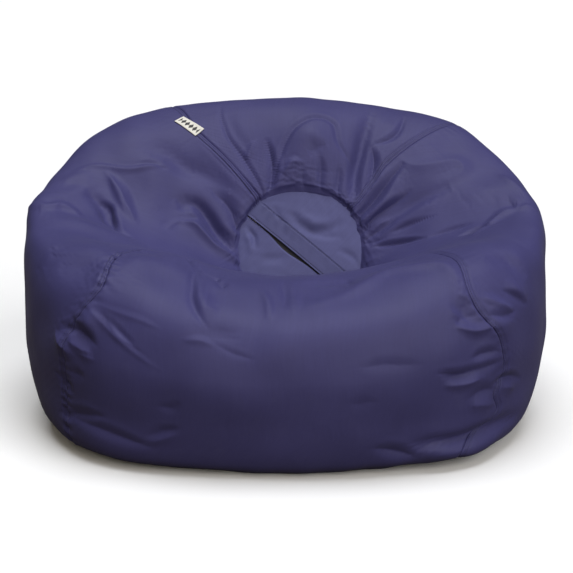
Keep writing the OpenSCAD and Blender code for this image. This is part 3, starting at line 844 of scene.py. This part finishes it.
def cloth_material(name, colour, worn, roughness, sheen):
    """Plain-weave polyester: two sets of threads, uneven dye, dull scuffs and a soft satin shine."""
    n = Nodes(name)
    place = n.place()
    uv, across, down = n.cloth()
    bend = n.noise(uv, 38.0, 2.0)
    turn = 2 * math.pi / THREAD

    def threads(value, strength):
        wobble = n.math("MULTIPLY", bend, strength)
        return n.math("SINE", n.math("ADD", n.math("MULTIPLY", value, turn), wobble), 0)

    weave = n.math("MULTIPLY", threads(across, 1.2), threads(down, 1.9))
    slub = n.streaks(uv, 90.0, 900.0, 2.0)
    streak = n.streaks(uv, 230.0, 14.0)
    cloud = n.noise(place, 7.0, 4.0)
    scuff = n.spread(n.noise(place, 23.0, 6.0, 0.7), 0.52, 0.80)
    base = n.mix(n.spread(cloud, 0.3, 0.7), colour, shade(colour, 1.13))
    base = n.part(n.spread(slub, 0.35, 0.75), 0.16, base, shade(colour, 0.72))
    base = n.part(n.spread(streak, 0.3, 0.7), 0.30, base, shade(colour, 0.74))
    base = n.part(n.spread(weave, -1.0, 1.0), 0.10, base, shade(colour, 1.5))
    n.link(n.part(scuff, 0.22, base, worn), "Base Color")
    rough = n.spread(cloud, 0.25, 0.75, roughness - 0.05, roughness + 0.06)
    n.link(n.math("ADD", rough, n.math("MULTIPLY", scuff, 0.12)), "Roughness")
    crinkle = n.noise(place, 130.0, 5.0, 0.62)
    wrinkle = n.noise(place, 34.0, 4.0, 0.55)
    soft = n.bump(wrinkle, 0.05, 0.005)
    fine = n.bump(crinkle, 0.09, 0.0016, Normal=soft)
    n.link(n.bump(weave, 0.16, 0.0003, Normal=fine), "Normal")
    shader = n.shader
    shader.inputs["Sheen Weight"].default_value = sheen
    shader.inputs["Sheen Roughness"].default_value = 0.45
    shader.inputs["Sheen Tint"].default_value = (0.72, 0.74, 1.0, 1)
    shader.inputs["Specular IOR Level"].default_value = 0.17
    return n.material


def plain_material(name, colour, roughness, grain, metallic=0.0, wear=None):
    """Moulded or metal finish with fine grain, uneven gloss and wear."""
    n = Nodes(name)
    place = n.place()
    fine = n.noise(place, grain, 5.0)
    broad = n.noise(place, grain / 6, 3.0)
    base = n.mix(n.spread(broad, 0.3, 0.7), colour, shade(colour, 1.25))
    if wear:
        base = n.mix(n.spread(n.noise(place, grain / 2, 6.0, 0.7), 0.56, 0.66), base, wear)
    n.link(base, "Base Color")
    n.link(n.spread(fine, 0.2, 0.8, roughness - 0.06, roughness + 0.08), "Roughness")
    n.link(n.bump(fine, 0.25, 0.0002), "Normal")
    n.shader.inputs["Metallic"].default_value = metallic
    return n.material


def label_material(name, ground, mark):
    """Woven label with a row of plain diamonds: four whole ones, and half of one at each end."""
    n = Nodes(name)
    uv, across, down = n.cloth()
    pitch, half_height, half_width = 0.0108, 0.0082, 0.0050
    # the sum keeps the value that goes into the pingpong above zero
    x = n.math("PINGPONG", n.math("ADD", across, 20 * pitch), pitch / 2)
    x = n.math("DIVIDE", n.math("SUBTRACT", pitch / 2, x), half_width)
    y = n.math("DIVIDE", n.math("ABSOLUTE", down), half_height)
    diamond = n.math("LESS_THAN", n.math("ADD", x, y), 1.0)
    inside = n.math("LESS_THAN", n.math("ABSOLUTE", across), 2.5 * pitch)
    thread = n.math("SINE", n.math("MULTIPLY", down, 2 * math.pi / 0.0007), 0)
    fine = n.streaks(uv, 2500.0, 400.0)
    base = n.mix(n.spread(fine, 0.3, 0.7), ground, shade(ground, 0.86))
    n.link(n.part(diamond, inside, base, mark), "Base Color")
    n.link(n.spread(fine, 0.2, 0.8, 0.6, 0.78), "Roughness")
    n.link(n.bump(thread, 0.3, 0.0002), "Normal")
    return n.material


INDIGO = (0.0465, 0.0438, 0.137, 1)
INDIGO_WORN = (0.068, 0.066, 0.158, 1)
CAP_INDIGO = (0.071, 0.073, 0.184, 1)
FLAP_INDIGO = (0.061, 0.063, 0.160, 1)
BASE_INDIGO = (0.040, 0.038, 0.095, 1)
BASE_WORN = (0.12, 0.11, 0.13, 1)


def grey(value, warm=0.0):
    """A grey, a little yellow if it is warm and a little blue if that is negative."""
    return (value, value, value - warm, 1)


def make_materials():
    cloths = {
        "cover": ("indigo_cloth", INDIGO, INDIGO_WORN, 0.50, 0.05),
        "cap": ("cap_cloth", CAP_INDIGO, INDIGO_WORN, 0.56, 0.06),
        "base": ("base_cloth", BASE_INDIGO, BASE_WORN, 0.62, 0.1),
        "flap": ("flap_cloth", FLAP_INDIGO, INDIGO_WORN, 0.56, 0.06),
    }
    # name, colour, roughness, grain, metallic, and a colour where it is worn
    plain = {
        "thread": ("sewing_thread", (0.014, 0.014, 0.042, 1), 0.5, 2500.0),
        "tape": ("zip_tape_weave", grey(0.022, -0.010), 0.75, 1500.0),
        "teeth": ("moulded_teeth", grey(0.020, -0.008), 0.32, 900.0),
        "metal": ("slider_enamel", grey(0.030, -0.004), 0.36, 700.0, 0.6, (0.42, 0.41, 0.40, 1)),
        "spring": ("spring_steel", grey(0.50, -0.02), 0.28, 900.0, 1.0),
        "liner": ("liner_cloth", grey(0.74, 0.03), 0.72, 900.0),
        "liner_teeth": ("liner_teeth", grey(0.70, 0.02), 0.40, 900.0),
        "beads": ("polystyrene_beads", grey(0.84, 0.02), 0.55, 260.0),
        "liner_tape": ("liner_tape_weave", grey(0.66, 0.03), 0.75, 1500.0),
        "label_thread": ("label_thread", (0.66, 0.63, 0.55, 1), 0.6, 2500.0),
        "care": ("care_label_cloth", grey(0.80, 0.01), 0.55, 1200.0),
    }
    materials = {key: cloth_material(*values) for key, values in cloths.items()}
    materials.update((key, plain_material(*values)) for key, values in plain.items())
    materials["label"] = label_material("label_cloth", (0.74, 0.72, 0.66, 1), (0.035, 0.033, 0.035, 1))
    return materials


# ---------------------------------------------------------------------------------------------------------
# Stage
# ---------------------------------------------------------------------------------------------------------


FLOOR_BOUNCE = (0.115, 0.095, 0.075, 1)
SKY = 0.02
LAMP_SPREAD = 45  # degrees
# Name, place, power and colour: a little cool from above and a little warm in front
LAMPS = (
    ("overhead", (0, 0, 1), 2.42, (0.98, 1.0, 1.04)),
    ("front", (0, -1.73, 1), 0.75, (1.12, 1.0, 0.80)),
    ("right", (0.8, -0.8, 0.7), 1.4, (1.0, 1.0, 1.0)),
)


def make_stage():
    scene = bpy.context.scene
    scene.view_settings.view_transform = "Standard"
    bpy.ops.mesh.primitive_circle_add(vertices=128, radius=30, fill_type="NGON", location=(0, 0, -0.0005))
    floor = bpy.context.object
    floor.name = "floor"
    n = Nodes("pale_floor")
    pale = n.mix(n.noise(n.place(), 3.0), (0.90, 0.90, 0.90, 1), (0.93, 0.93, 0.93, 1))
    # light that leaves the floor for the bag is dimmed, as if only the floor near the bag were white
    seen = n.add("ShaderNodeLightPath").outputs["Is Camera Ray"]
    n.link(n.mix(seen, FLOOR_BOUNCE, pale), "Base Color")
    n.shader.inputs["Roughness"].default_value = 0.9
    n.shader.inputs["Specular IOR Level"].default_value = 0.0
    floor.data.materials.append(n.material)
    floor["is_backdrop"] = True

    world = bpy.data.worlds.new("studio")
    scene.world = world
    world.use_nodes = True
    background = world.node_tree.nodes["Background"]
    background.inputs["Color"].default_value = (1, 1, 1, 1)
    background.inputs["Strength"].default_value = SKY

    for name, place, power, colour in LAMPS:
        light = bpy.data.lights.new(name, "SUN")
        light.energy = power
        light.color = colour
        light.angle = math.radians(LAMP_SPREAD)
        piece = bpy.data.objects.new(name, light)
        piece.location = place
        piece.rotation_euler = (-Vector(place)).to_track_quat("-Z", "Y").to_euler()
        scene.collection.objects.link(piece)


def make_camera():
    """Looks along +Y from 15 degrees above, at the height of the middle of the photograph."""
    elevation = math.radians(15)
    distance = 2.8
    target = Vector((0.0025, -0.0159, 0.2388))
    camera = bpy.data.cameras.new("camera")
    camera.sensor_width = 36
    camera.lens = 85.8
    eye = bpy.data.objects.new("camera", camera)
    back = Vector((0, -math.cos(elevation), math.sin(elevation)))
    eye.location = target + distance * back
    eye.rotation_euler = (-back).to_track_quat("-Z", "Y").to_euler()
    bpy.context.scene.collection.objects.link(eye)
    bpy.context.scene.camera = eye


# ---------------------------------------------------------------------------------------------------------
# Pieces
# ---------------------------------------------------------------------------------------------------------


def finish_piece(piece, material, replaced=()):
    """Paints a piece, puts it on the cover's body and hides the CAD nodes that it stands for."""
    piece.data.materials.append(material)
    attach(piece, COVER)
    if replaced:
        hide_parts(*replaced)


def thicken(piece, thickness):
    """Gives a sheet its thickness, with closed edges."""
    solid = piece.modifiers.new("thickness", "SOLIDIFY")
    solid.thickness = thickness
    solid.offset = -1.0
    solid.use_even_offset = False
    apply_modifiers(piece)


def apply_modifiers(piece):
    evaluated = piece.evaluated_get(bpy.context.evaluated_depsgraph_get())
    mesh = bpy.data.meshes.new_from_object(evaluated)
    piece.modifiers.clear()
    piece.data = mesh


class Cover:
    """The settled cover: its points, outward normals, and where a ring and azimuth lie on it."""

    def __init__(self):
        points, self.form, self.rings = build_cover()
        self.points = add_details(points)
        self.normals = grid_normals(self.points)
        self.columns = self.points.shape[1]
        self.cells = self.columns // len(GORES)

    def gore(self, index):
        """Points and normals of one gore, from seam to seam."""
        pick = (index * self.cells + np.arange(self.cells + 1)) % self.columns
        return self.points[:, pick], self.normals[:, pick]

    def at(self, rings, azimuths):
        """Points and normals at arrays of ring numbers and azimuths in degrees."""
        rings, azimuths = np.broadcast_arrays(np.asarray(rings, float), np.asarray(azimuths, float))
        smooth = bag_points(rings.ravel(), np.radians(azimuths.ravel()))
        rows = np.interp(rings.ravel(), self.rings, np.arange(len(self.rings)))
        points, normals = [], []
        for row, target in zip(rows, smooth):
            line = self.points[int(round(row))]
            column = int(np.argmin(np.linalg.norm(line - target, axis=1)))
            points.append(line[column])
            normals.append(self.normals[int(round(row)), column])
        shape = rings.shape + (3,)
        return np.array(points).reshape(shape), np.array(normals).reshape(shape)

    def beside_seam(self, seam, distance):
        """Points and normals along a row at a distance from a seam: positive is towards the next gore."""
        column = seam * self.cells
        step = 1 if distance > 0 else -1
        reach = self.cells // 3
        pick = (column + step * np.arange(reach)) % self.columns
        strip = self.points[:, pick]
        across = running(steps(strip, 1), 1)
        at = np.array([np.interp(abs(distance), row, np.arange(reach)) for row in across])
        low = np.minimum(at.astype(int), reach - 2)
        share = (at - low)[:, None]
        rows = np.arange(len(strip))
        points = strip[rows, low] * (1 - share) + strip[rows, low + 1] * share
        return points, self.normals[rows, pick[low]]


def resample(points, normals, spacing):
    """Points and normals at even spacing along a path, with the direction of the path."""
    length = running(steps(points))
    at = np.arange(spacing / 2, length[-1], spacing)
    even = np.stack([np.interp(at, length, points[:, k]) for k in range(3)], axis=1)
    out = np.stack([np.interp(at, length, normals[:, k]) for k in range(3)], axis=1)
    return even, unit(out), unit(np.gradient(even, axis=0))


def add_stitches(name, paths, material, length=0.0034, spacing=0.0046, radius=0.00045):
    """Rows of single stitches, each a short thread that dips into the cloth at both ends."""
    sides = 5
    stations = ((-0.5, -1.6, 0.5), (-0.32, 0.35, 1.0), (0.32, 0.35, 1.0), (0.5, -1.6, 0.5))
    points, faces = [], []
    turn = np.arange(sides) * 2 * math.pi / sides
    for path, out in paths:
        even, out, along = resample(path, out, spacing)
        sideways = np.cross(along, out)
        for place, normal, forward, side in zip(even, out, along, sideways):
            start = len(points)
            for reach, rise, size in stations:
                middle = place + forward * reach * length + normal * rise * radius
                for angle in turn:
                    out_of_middle = math.cos(angle) * normal + math.sin(angle) * side
                    points.append(middle + radius * size * out_of_middle)
            for k in range(len(stations) - 1):
                for i in range(sides):
                    a, b = start + k * sides + i, start + k * sides + (i + 1) % sides
                    faces.append((a, b, b + sides, a + sides))
            faces.append(tuple(start + i for i in reversed(range(sides))))
            faces.append(tuple(start + (len(stations) - 1) * sides + i for i in range(sides)))
    piece = new_mesh(name, points, faces)
    smooth_shading(piece)
    finish_piece(piece, material)


def make_panels(cover, materials):
    for k, name in enumerate(GORES):
        sheet, normals = cover.gore(k)
        edged = turned_edges(sheet, normals)
        piece = cloth_piece("cover_" + name, edged, cloth_coordinates(edged))
        finish_piece(piece, materials["cover"], (name,))


def make_topstitching(cover, materials):
    paths = []
    for k, rows in enumerate(STITCH_ROWS):
        for distance in rows:
            points, normals = cover.beside_seam(k, distance)
            paths.append((points[3:-4], normals[3:-4]))
    add_stitches("panel_topstitching", paths, materials["thread"])


# Soft folds in the cap in millimetres: width, height, then (along the zip, up from it) points
CAP_FOLDS = (
    (9, -2.6, (-64, 52), (-40, 46), (-15, 52), (12, 76), (20, 104)),
    (6, -1.6, (-21, 44), (16, 62), (38, 82)),
    (9, 1.6, (-55, 66), (-20, 70), (0, 92)),
    (6, -2.0, (-118, -28), (-96, -34), (-82, -48)),
    (7, 1.2, (-112, -40), (-92, -50), (-80, -62)),
    (8, -1.4, (-50, -60), (-30, -40), (-16, -24)),
    (7, -1.5, (60, 60), (84, 66), (104, 62)),
    (6, -1.2, (-104, 40), (-84, 30), (-66, 28)),
)
CAP_FOLD_STRENGTH = 2.1
# Places up from the zip, in metres
FREE_EDGE = -0.008
SEWN_EDGE = 0.035
ZIP_LINE = -0.002
EDGE_SAG = 0.0016  # how far the flap's free edge is drawn up in its middle
FLAP_LIFT = 0.0010
HEM = 0.0045  # how far the row of stitches is from the flap's free edge
SEWN_ROW = 0.004  # and how far the other row is from the edge where the flap is sewn on
CAP_OVERLAP = 0.004  # how far the cap's cloth goes past its rim, under the gores
CAP_DROP = 0.0028  # how far it dips there
LOWER_EDGE = -0.009  # the cut edges of the cap's halves beside the zip
UPPER_EDGE = 0.005


def cap_points(along, upward, height):
    """Points in the cap's own frame, where along runs with the zip."""
    along, upward, height = np.broadcast_arrays(along, upward, height)
    beside = along[..., None] * ZIP_ALONG + upward[..., None] * ZIP_UPWARD
    return CAP_CENTRE + beside + height[..., None] * CAP_OUT


def cap_height(along, upward):
    """The cloth of the cap swells a little, with soft folds in it."""
    reach = np.hypot(along, upward) / CAP_RADIUS
    height = 0.0045 * (1 - np.clip(reach, 0, 1) ** 2)
    for width, rise, *points in CAP_FOLDS:
        path = np.array(points) / 1000
        rise = CAP_FOLD_STRENGTH * rise / 1000
        height = height + fold_profile(along, upward, path, width / 1000, rise)
    ripple = np.sin(along * 190 + 2.2 * np.sin(upward * 60))
    ripple = ripple * np.sin(upward * 150 + 1.5 * np.sin(along * 75))
    return height + 0.00035 * ripple


def fold_profile(x, y, path, width, rise):
    """A soft fold along a path of straight runs in a plane, fading out at both ends."""
    nearest = np.full(np.broadcast(x, y).shape, 1e9)
    share = np.zeros_like(nearest)
    lengths = steps(path)
    total = lengths.sum()
    done = 0.0
    for a, b, length in zip(path[:-1], path[1:], lengths):
        t = np.clip(((x - a[0]) * (b[0] - a[0]) + (y - a[1]) * (b[1] - a[1])) / length**2, 0, 1)
        distance = np.hypot(x - a[0] - t * (b[0] - a[0]), y - a[1] - t * (b[1] - a[1]))
        closer = distance < nearest
        nearest = np.where(closer, distance, nearest)
        share = np.where(closer, (done + t * length) / total, share)
        done += length
    return rise * hump(nearest, width) * np.sin(math.pi * (0.1 + 0.8 * share)) ** 0.8


def half_disc(name, side, edge, height, inset, drop, rows=30, columns=90):
    """One half of a round piece of cloth, from its cut edge beside the zip out to the rim."""
    u = np.linspace(-0.99, 0.99, columns + 1)[None, :]
    v = np.linspace(0, 1, rows + 1)[:, None]
    level = float(edge(np.array(-CAP_RADIUS)))
    start = math.asin(level / CAP_RADIUS)
    if side < 0:
        angle = -math.pi / 2 + u * (math.pi / 2 + start)
    else:
        angle = math.pi / 2 - u * (math.pi / 2 - start)
    radius = rim_radius(angle + ZIP_TURN) - inset
    cut_along = (CAP_RADIUS - inset) * math.cos(start) * np.sin(math.pi / 2 * u)
    along = cut_along * (1 - v) + radius * np.cos(angle) * v
    upward = edge(cut_along) * (1 - v) + radius * np.sin(angle) * v
    lift = height(along, upward) * np.clip((1 - v) * 8, 0, 1) - drop * v**12
    sheet = cap_points(along, upward, lift)
    if side < 0:
        sheet = sheet[::-1]
        along, upward = along[::-1], upward[::-1]
    return cloth_piece(name, sheet[:, ::-1], np.stack([along, upward], axis=-1)[:, ::-1])


def lower_edge(along):
    """The lower half's edge by the zip sags away from the flap, left of the middle."""
    return LOWER_EDGE - 0.0070 * hump(along + 0.026, 0.040)


def upper_edge(along):
    return UPPER_EDGE + 0 * along


def make_cap(materials):
    for side, name, edge in ((-1, "lower", lower_edge), (1, "upper", upper_edge)):
        piece = half_disc("cap_cloth_" + name, side, edge, cap_height, -CAP_OVERLAP, CAP_DROP)
        thicken(piece, THICKNESS["cap"])
        finish_piece(piece, materials["cap"], (f"cap_{name}_half",))
        depth = CAP_RADIUS + side * float(-edge(np.array(0.0)))


def flap_height(along, upward):
    """The flap lies on the cap, puckers along its seam and bows up a little at its free edge."""
    share = np.clip((upward - FREE_EDGE) / (SEWN_EDGE - FREE_EDGE), 0, 1)
    reach = np.clip(along / CAP_RADIUS, -1, 1)
    bow = 0.0028 * (1 - share) ** 1.5 * np.sqrt(np.cos(reach * math.pi / 2 * 0.92))
    puckers = 0.0009 * np.sin(along * 330 + upward * 90 + 1.5 * np.sin(along * 47))
    puckers = puckers * hump(share - 0.95, 0.35) * (0.35 + 0.65 * (along < -0.03))
    stitch = -0.0007 * hump(upward - FREE_EDGE - HEM, 0.0016)
    sewn = -0.0009 * hump(upward - SEWN_EDGE + SEWN_ROW, 0.0018)
    hollow = -0.0012 * hump(along + 0.05, 0.03) * hump(share - 0.5, 0.3)
    height = cap_height(along, upward) * (0.4 + 0.6 * share) + 0.0018
    return height + bow + puckers + stitch + sewn + hollow


def make_flap(materials):
    """The strip that covers the zip, with a row of stitches along each edge."""
    rows, columns = 44, 150
    v = np.linspace(0, 1, rows + 1)[:, None]
    u = np.linspace(-1, 1, columns + 1)[None, :]
    upward = FREE_EDGE + (SEWN_EDGE - FREE_EDGE) * v + 0 * u
    upward = upward + EDGE_SAG * (1 - v) * np.cos(math.pi / 2 * u)
    side = np.where(u < 0, math.pi, 0.0) + ZIP_TURN
    reach = np.sqrt(rim_radius(side + np.sign(-u) * 0.1) ** 2 - upward**2) + 0.0015
    along = reach * u
    fade = np.clip((1 - np.abs(u)) * 14, 0, 1)
    sheet = cap_points(along, upward, flap_height(along, upward) * fade + FLAP_LIFT)
    piece = cloth_piece("zip_flap_cloth", sheet[::-1], np.stack([upward, along], axis=-1)[::-1])
    thicken(piece, THICKNESS["flap"])
    finish_piece(piece, materials["flap"], ("zip_flap",))
    rows_at = (FREE_EDGE + HEM, SEWN_EDGE - SEWN_ROW)
    paths = []
    for level in rows_at:
        at = np.linspace(-0.93, 0.93, 120)
        row = level + (EDGE_SAG * np.cos(math.pi / 2 * at) if level < 0 else 0)
        x = at * math.sqrt(CAP_RADIUS**2 - level**2)
        points = cap_points(x, row, flap_height(x, row) + FLAP_LIFT)
        paths.append((points, np.tile(CAP_OUT, (len(points), 1))))
    add_stitches("flap_stitching", paths, materials["thread"])


LINER_ZIP_GAP = 0.005
LINER_TOP_DEPTH = 0.0095  # below the cap
LINER_RIM_DROP = 0.0095  # how much lower than that its rim is
LINER_RIM_INSET = 0.0035
LINER_INSET = 0.0068  # inside the cover
FILL_INSET = 0.0105
BEAD_BUMPS = 0.0008
LOWEST_SKIN = 0.0025  # above the floor
DISH_DEPTH = 0.011  # of the dish under the cap
DISH_RINGS = (0.05, 0.3, 0.55, 0.75, 0.9)  # shares of its radius
BASE_RINGS = (0.97, 0.85, 0.65, 0.4, 0.2, 0.05)  # shares of the base's radius
DEEPEST_REACH = 5  # grid cells around a point that its skin also stays under
MOUTH_ROWS = 3  # the skins start this many rows away from the cap's rim


def inside_bag(name, cover, inset, material, replaced, bumps=0.0, mouth=False):
    """A skin a set depth inside the cover, with a flat base, and a dish or an open mouth under the cap."""
    normals = grid_normals(cover.form)
    height = ((cover.points - cover.form) * normals).sum(axis=2)
    # the skin passes under the deepest crease nearby
    deepest = height
    for step in range(1, DEEPEST_REACH + 1):
        deepest = np.minimum(deepest, np.minimum(np.roll(height, step, 1), np.roll(height, -step, 1)))
    height = deepest
    for step in range(1, DEEPEST_REACH + 1):
        above, below = np.roll(height, step, 0), np.roll(height, -step, 0)
        above[:step], below[-step:] = height[:step], height[-step:]
        deepest = np.minimum(deepest, np.minimum(above, below))
    pick = (slice(MOUTH_ROWS * FINE_DOWN, None, FINE_DOWN), slice(None, None, FINE_ACROSS))
    normals = normals[pick]
    points = cover.form[pick]
    inner = points + normals * (deepest[pick] - inset)[..., None]
    if bumps:
        inner = inner + normals * (bumps * wave_noise(11, 30, points, 0.012, 0.03))[..., None]
    inner[..., 2] = np.maximum(inner[..., 2], LOWEST_SKIN + inset / 3)
    dish, base = [], []
    rim, foot = inner[0], inner[-1]
    dish_middle = CAP_CENTRE - CAP_OUT * (DISH_DEPTH + inset)
    foot_middle = foot.mean(axis=0)
    for share in () if mouth else DISH_RINGS:
        across = rim - dish_middle
        across = across - (across @ CAP_OUT)[:, None] * CAP_OUT
        dish.append(dish_middle + across * share)
    for share in BASE_RINGS:
        ring = foot_middle + (foot - foot_middle) * share
        ring[:, 2] = foot_middle[2]
        base.append(ring)
    grid = np.concatenate(([np.array(dish)] if dish else []) + [inner, np.array(base)])
    piece = closed_grid(name, grid, not mouth)
    smooth_shading(piece)
    finish_piece(piece, material, replaced)
    return piece, grid


def liner_top_height(along, upward):
    return 0.0015 * (1 - (np.hypot(along, upward) / CAP_RADIUS) ** 2) - LINER_TOP_DEPTH


def make_inside(cover, materials):
    liner, grid = inside_bag(
        "inner_bag", cover, LINER_INSET, materials["liner"], ("inner_liner",), mouth=True
    )
    fill, _ = inside_bag(
        "bead_filling", cover, FILL_INSET, materials["beads"], ("bead_fill",), BEAD_BUMPS
    )
    for side, name in ((-1, "lower"), (1, "upper")):
        def edge(along, side=side):
            return ZIP_LINE + side * LINER_ZIP_GAP + 0 * along

        piece = half_disc(
            "inner_bag_top_" + name, side, edge, liner_top_height, LINER_RIM_INSET, LINER_RIM_DROP, 14, 48
        )
        thicken(piece, THICKNESS["liner_top"])
        finish_piece(piece, materials["liner"], (f"liner_top_{name}",))


def make_base(cover, materials):
    """The panel that the bag stands on: flat, with its edge turned up into the seam with the gores."""
    foot = cover.points[-1][::FINE_ACROSS]
    middle = foot.mean(axis=0)
    rings = []
    turned_up = ((0.988, 0.0035), (0.985, 0.0012))
    flat = tuple((share, 0.0) for share in (0.975, 0.93, 0.8, 0.6, 0.4, 0.2, 0.05))
    for share, height in turned_up + flat:
        ring = middle + (foot - middle) * share
        ring[:, 2] = height
        rings.append(ring)
    grid = np.array(rings)
    piece = closed_grid("base_cloth_panel", grid, False)
    set_coordinates(piece, grid.reshape(-1, 3)[:, :2])
    thicken(piece, THICKNESS["base"])
    finish_piece(piece, materials["base"], ("base_panel",))


# The woven label's corners as (ring, azimuth in degrees), and how far it lies off the cover
LABEL_CORNERS = ((2.61, 129.2), (3.09, 128.2), (3.17, 123.2), (2.64, 123.8))
LABEL_LIFT = 0.0016
LABEL_SEAM = 0.0022  # from its edge to the stitches around it


def make_label(cover, materials):
    """A rectangular label that follows the cover, with stitches all around."""
    rows, columns = 14, 30
    corners = np.array(LABEL_CORNERS, float)
    (a, b, c, d), outward = cover.at(corners[:, 0], corners[:, 1])
    middle = (a + b + c + d) / 4
    side, up = (b - a + c - d) / 2, (d - a + c - b) / 2
    normal = unit(np.cross(side, up))
    if normal @ outward[0] < 0:
        normal, up = -normal, -up
    width, length = np.linalg.norm(side), np.linalg.norm(up)
    nearby = cover.points.reshape(-1, 3)
    near = nearby[np.linalg.norm(nearby - middle, axis=1) < width + length]
    grid = np.empty((rows + 1, columns + 1, 3))
    flat = np.empty((rows + 1, columns + 1, 2))
    for i in range(rows + 1):
        for j in range(columns + 1):
            s, t = j / columns - 0.5, i / rows - 0.5
            place = middle + side * s + up * t
            offset = near - place
            height = offset @ normal
            beside = np.linalg.norm(offset - height[:, None] * normal, axis=1)
            weight = hump(beside, 0.006) + 1e-12
            grid[i, j] = place + normal * (float((weight * height).sum() / weight.sum()) + LABEL_LIFT)
            flat[i, j] = (s * width, t * length)
    piece = cloth_piece("woven_tab", grid, flat)
    thicken(piece, THICKNESS["label"])
    finish_piece(piece, materials["label"], ("woven_label",))
    edge = np.concatenate([grid[0], grid[1:, -1], grid[-1, -2::-1], grid[-2:0:-1, 0]])
    inward = unit(grid.mean(axis=(0, 1)) - edge)
    path = edge + inward * LABEL_SEAM + normal * 0.0004
    add_stitches("label_stitching", [(path, np.tile(normal, (len(path), 1)))], materials["label_thread"],
                 0.0024, 0.0034, 0.0003)


def make_care_label(cover, materials):
    """A blank tab that hangs from the back right seam, close to the floor."""
    low, high = (np.array(corner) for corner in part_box("care_label"))
    centre = (low + high) / 2
    points = cover.points.reshape(-1, 3)
    nearest = int(np.argmin(np.linalg.norm(points - centre, axis=1)))
    place, out = points[nearest], cover.normals.reshape(-1, 3)[nearest]
    down = unit(np.array([0, 0, -1.0]) + out * out[2])
    side = np.cross(out, down)
    rows, columns = 24, 12
    length, width = 0.066, 0.034
    t = np.linspace(0, 1, rows + 1)[:, None, None]
    s = np.linspace(-0.5, 0.5, columns + 1)[None, :, None]
    curl = 0.0015 + 0.004 * t**2 + 0.0012 * np.sin(t * 6 + s * 3)
    sheet = place + down * (t - 0.5) * length + side * s * width + out * curl
    sheet[..., 2] = np.maximum(sheet[..., 2], 0.002)
    flat = np.concatenate([s * width + 0 * t, t * length + 0 * s], axis=2)
    piece = cloth_piece("care_tab", sheet[:, ::-1], flat[:, ::-1])
    thicken(piece, THICKNESS["care"])
    finish_piece(piece, materials["care"], ("care_label",))


def paint_frame_nodes(materials):
    finishes = {
        "zip_slider": "metal", "slider_lock_spring": "spring", "zip_top_stops": "metal",
        "zip_bottom_stop": "metal", "liner_zip_slider": "metal", "liner_zip_stops": "metal",
        "inner_liner": "liner", "bead_fill": "beads", "base_panel": "base", "zip_flap": "cap",
        "woven_label": "label", "care_label": "care", "cap_lower_half": "cap", "cap_upper_half": "cap",
    }
    finishes.update((gore, "cover") for gore in GORES)
    for side in ("lower", "upper"):
        for zip_part in ("tape", "teeth"):
            finishes[f"zip_{zip_part}_{side}"] = zip_part
            finishes[f"liner_zip_{zip_part}_{side}"] = "liner_" + zip_part
        finishes["liner_top_" + side] = "liner"
    for node, finish in finishes.items():
        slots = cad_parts[node].data.materials
        if len(slots):
            for i in range(len(slots)):
                slots[i] = materials[finish]
        else:
            slots.append(materials[finish])


make_camera()
make_stage()
materials = make_materials()
cover = Cover()
make_panels(cover, materials)
make_topstitching(cover, materials)
make_cap(materials)
make_flap(materials)
make_inside(cover, materials)
make_base(cover, materials)
make_label(cover, materials)
make_care_label(cover, materials)
paint_frame_nodes(materials)
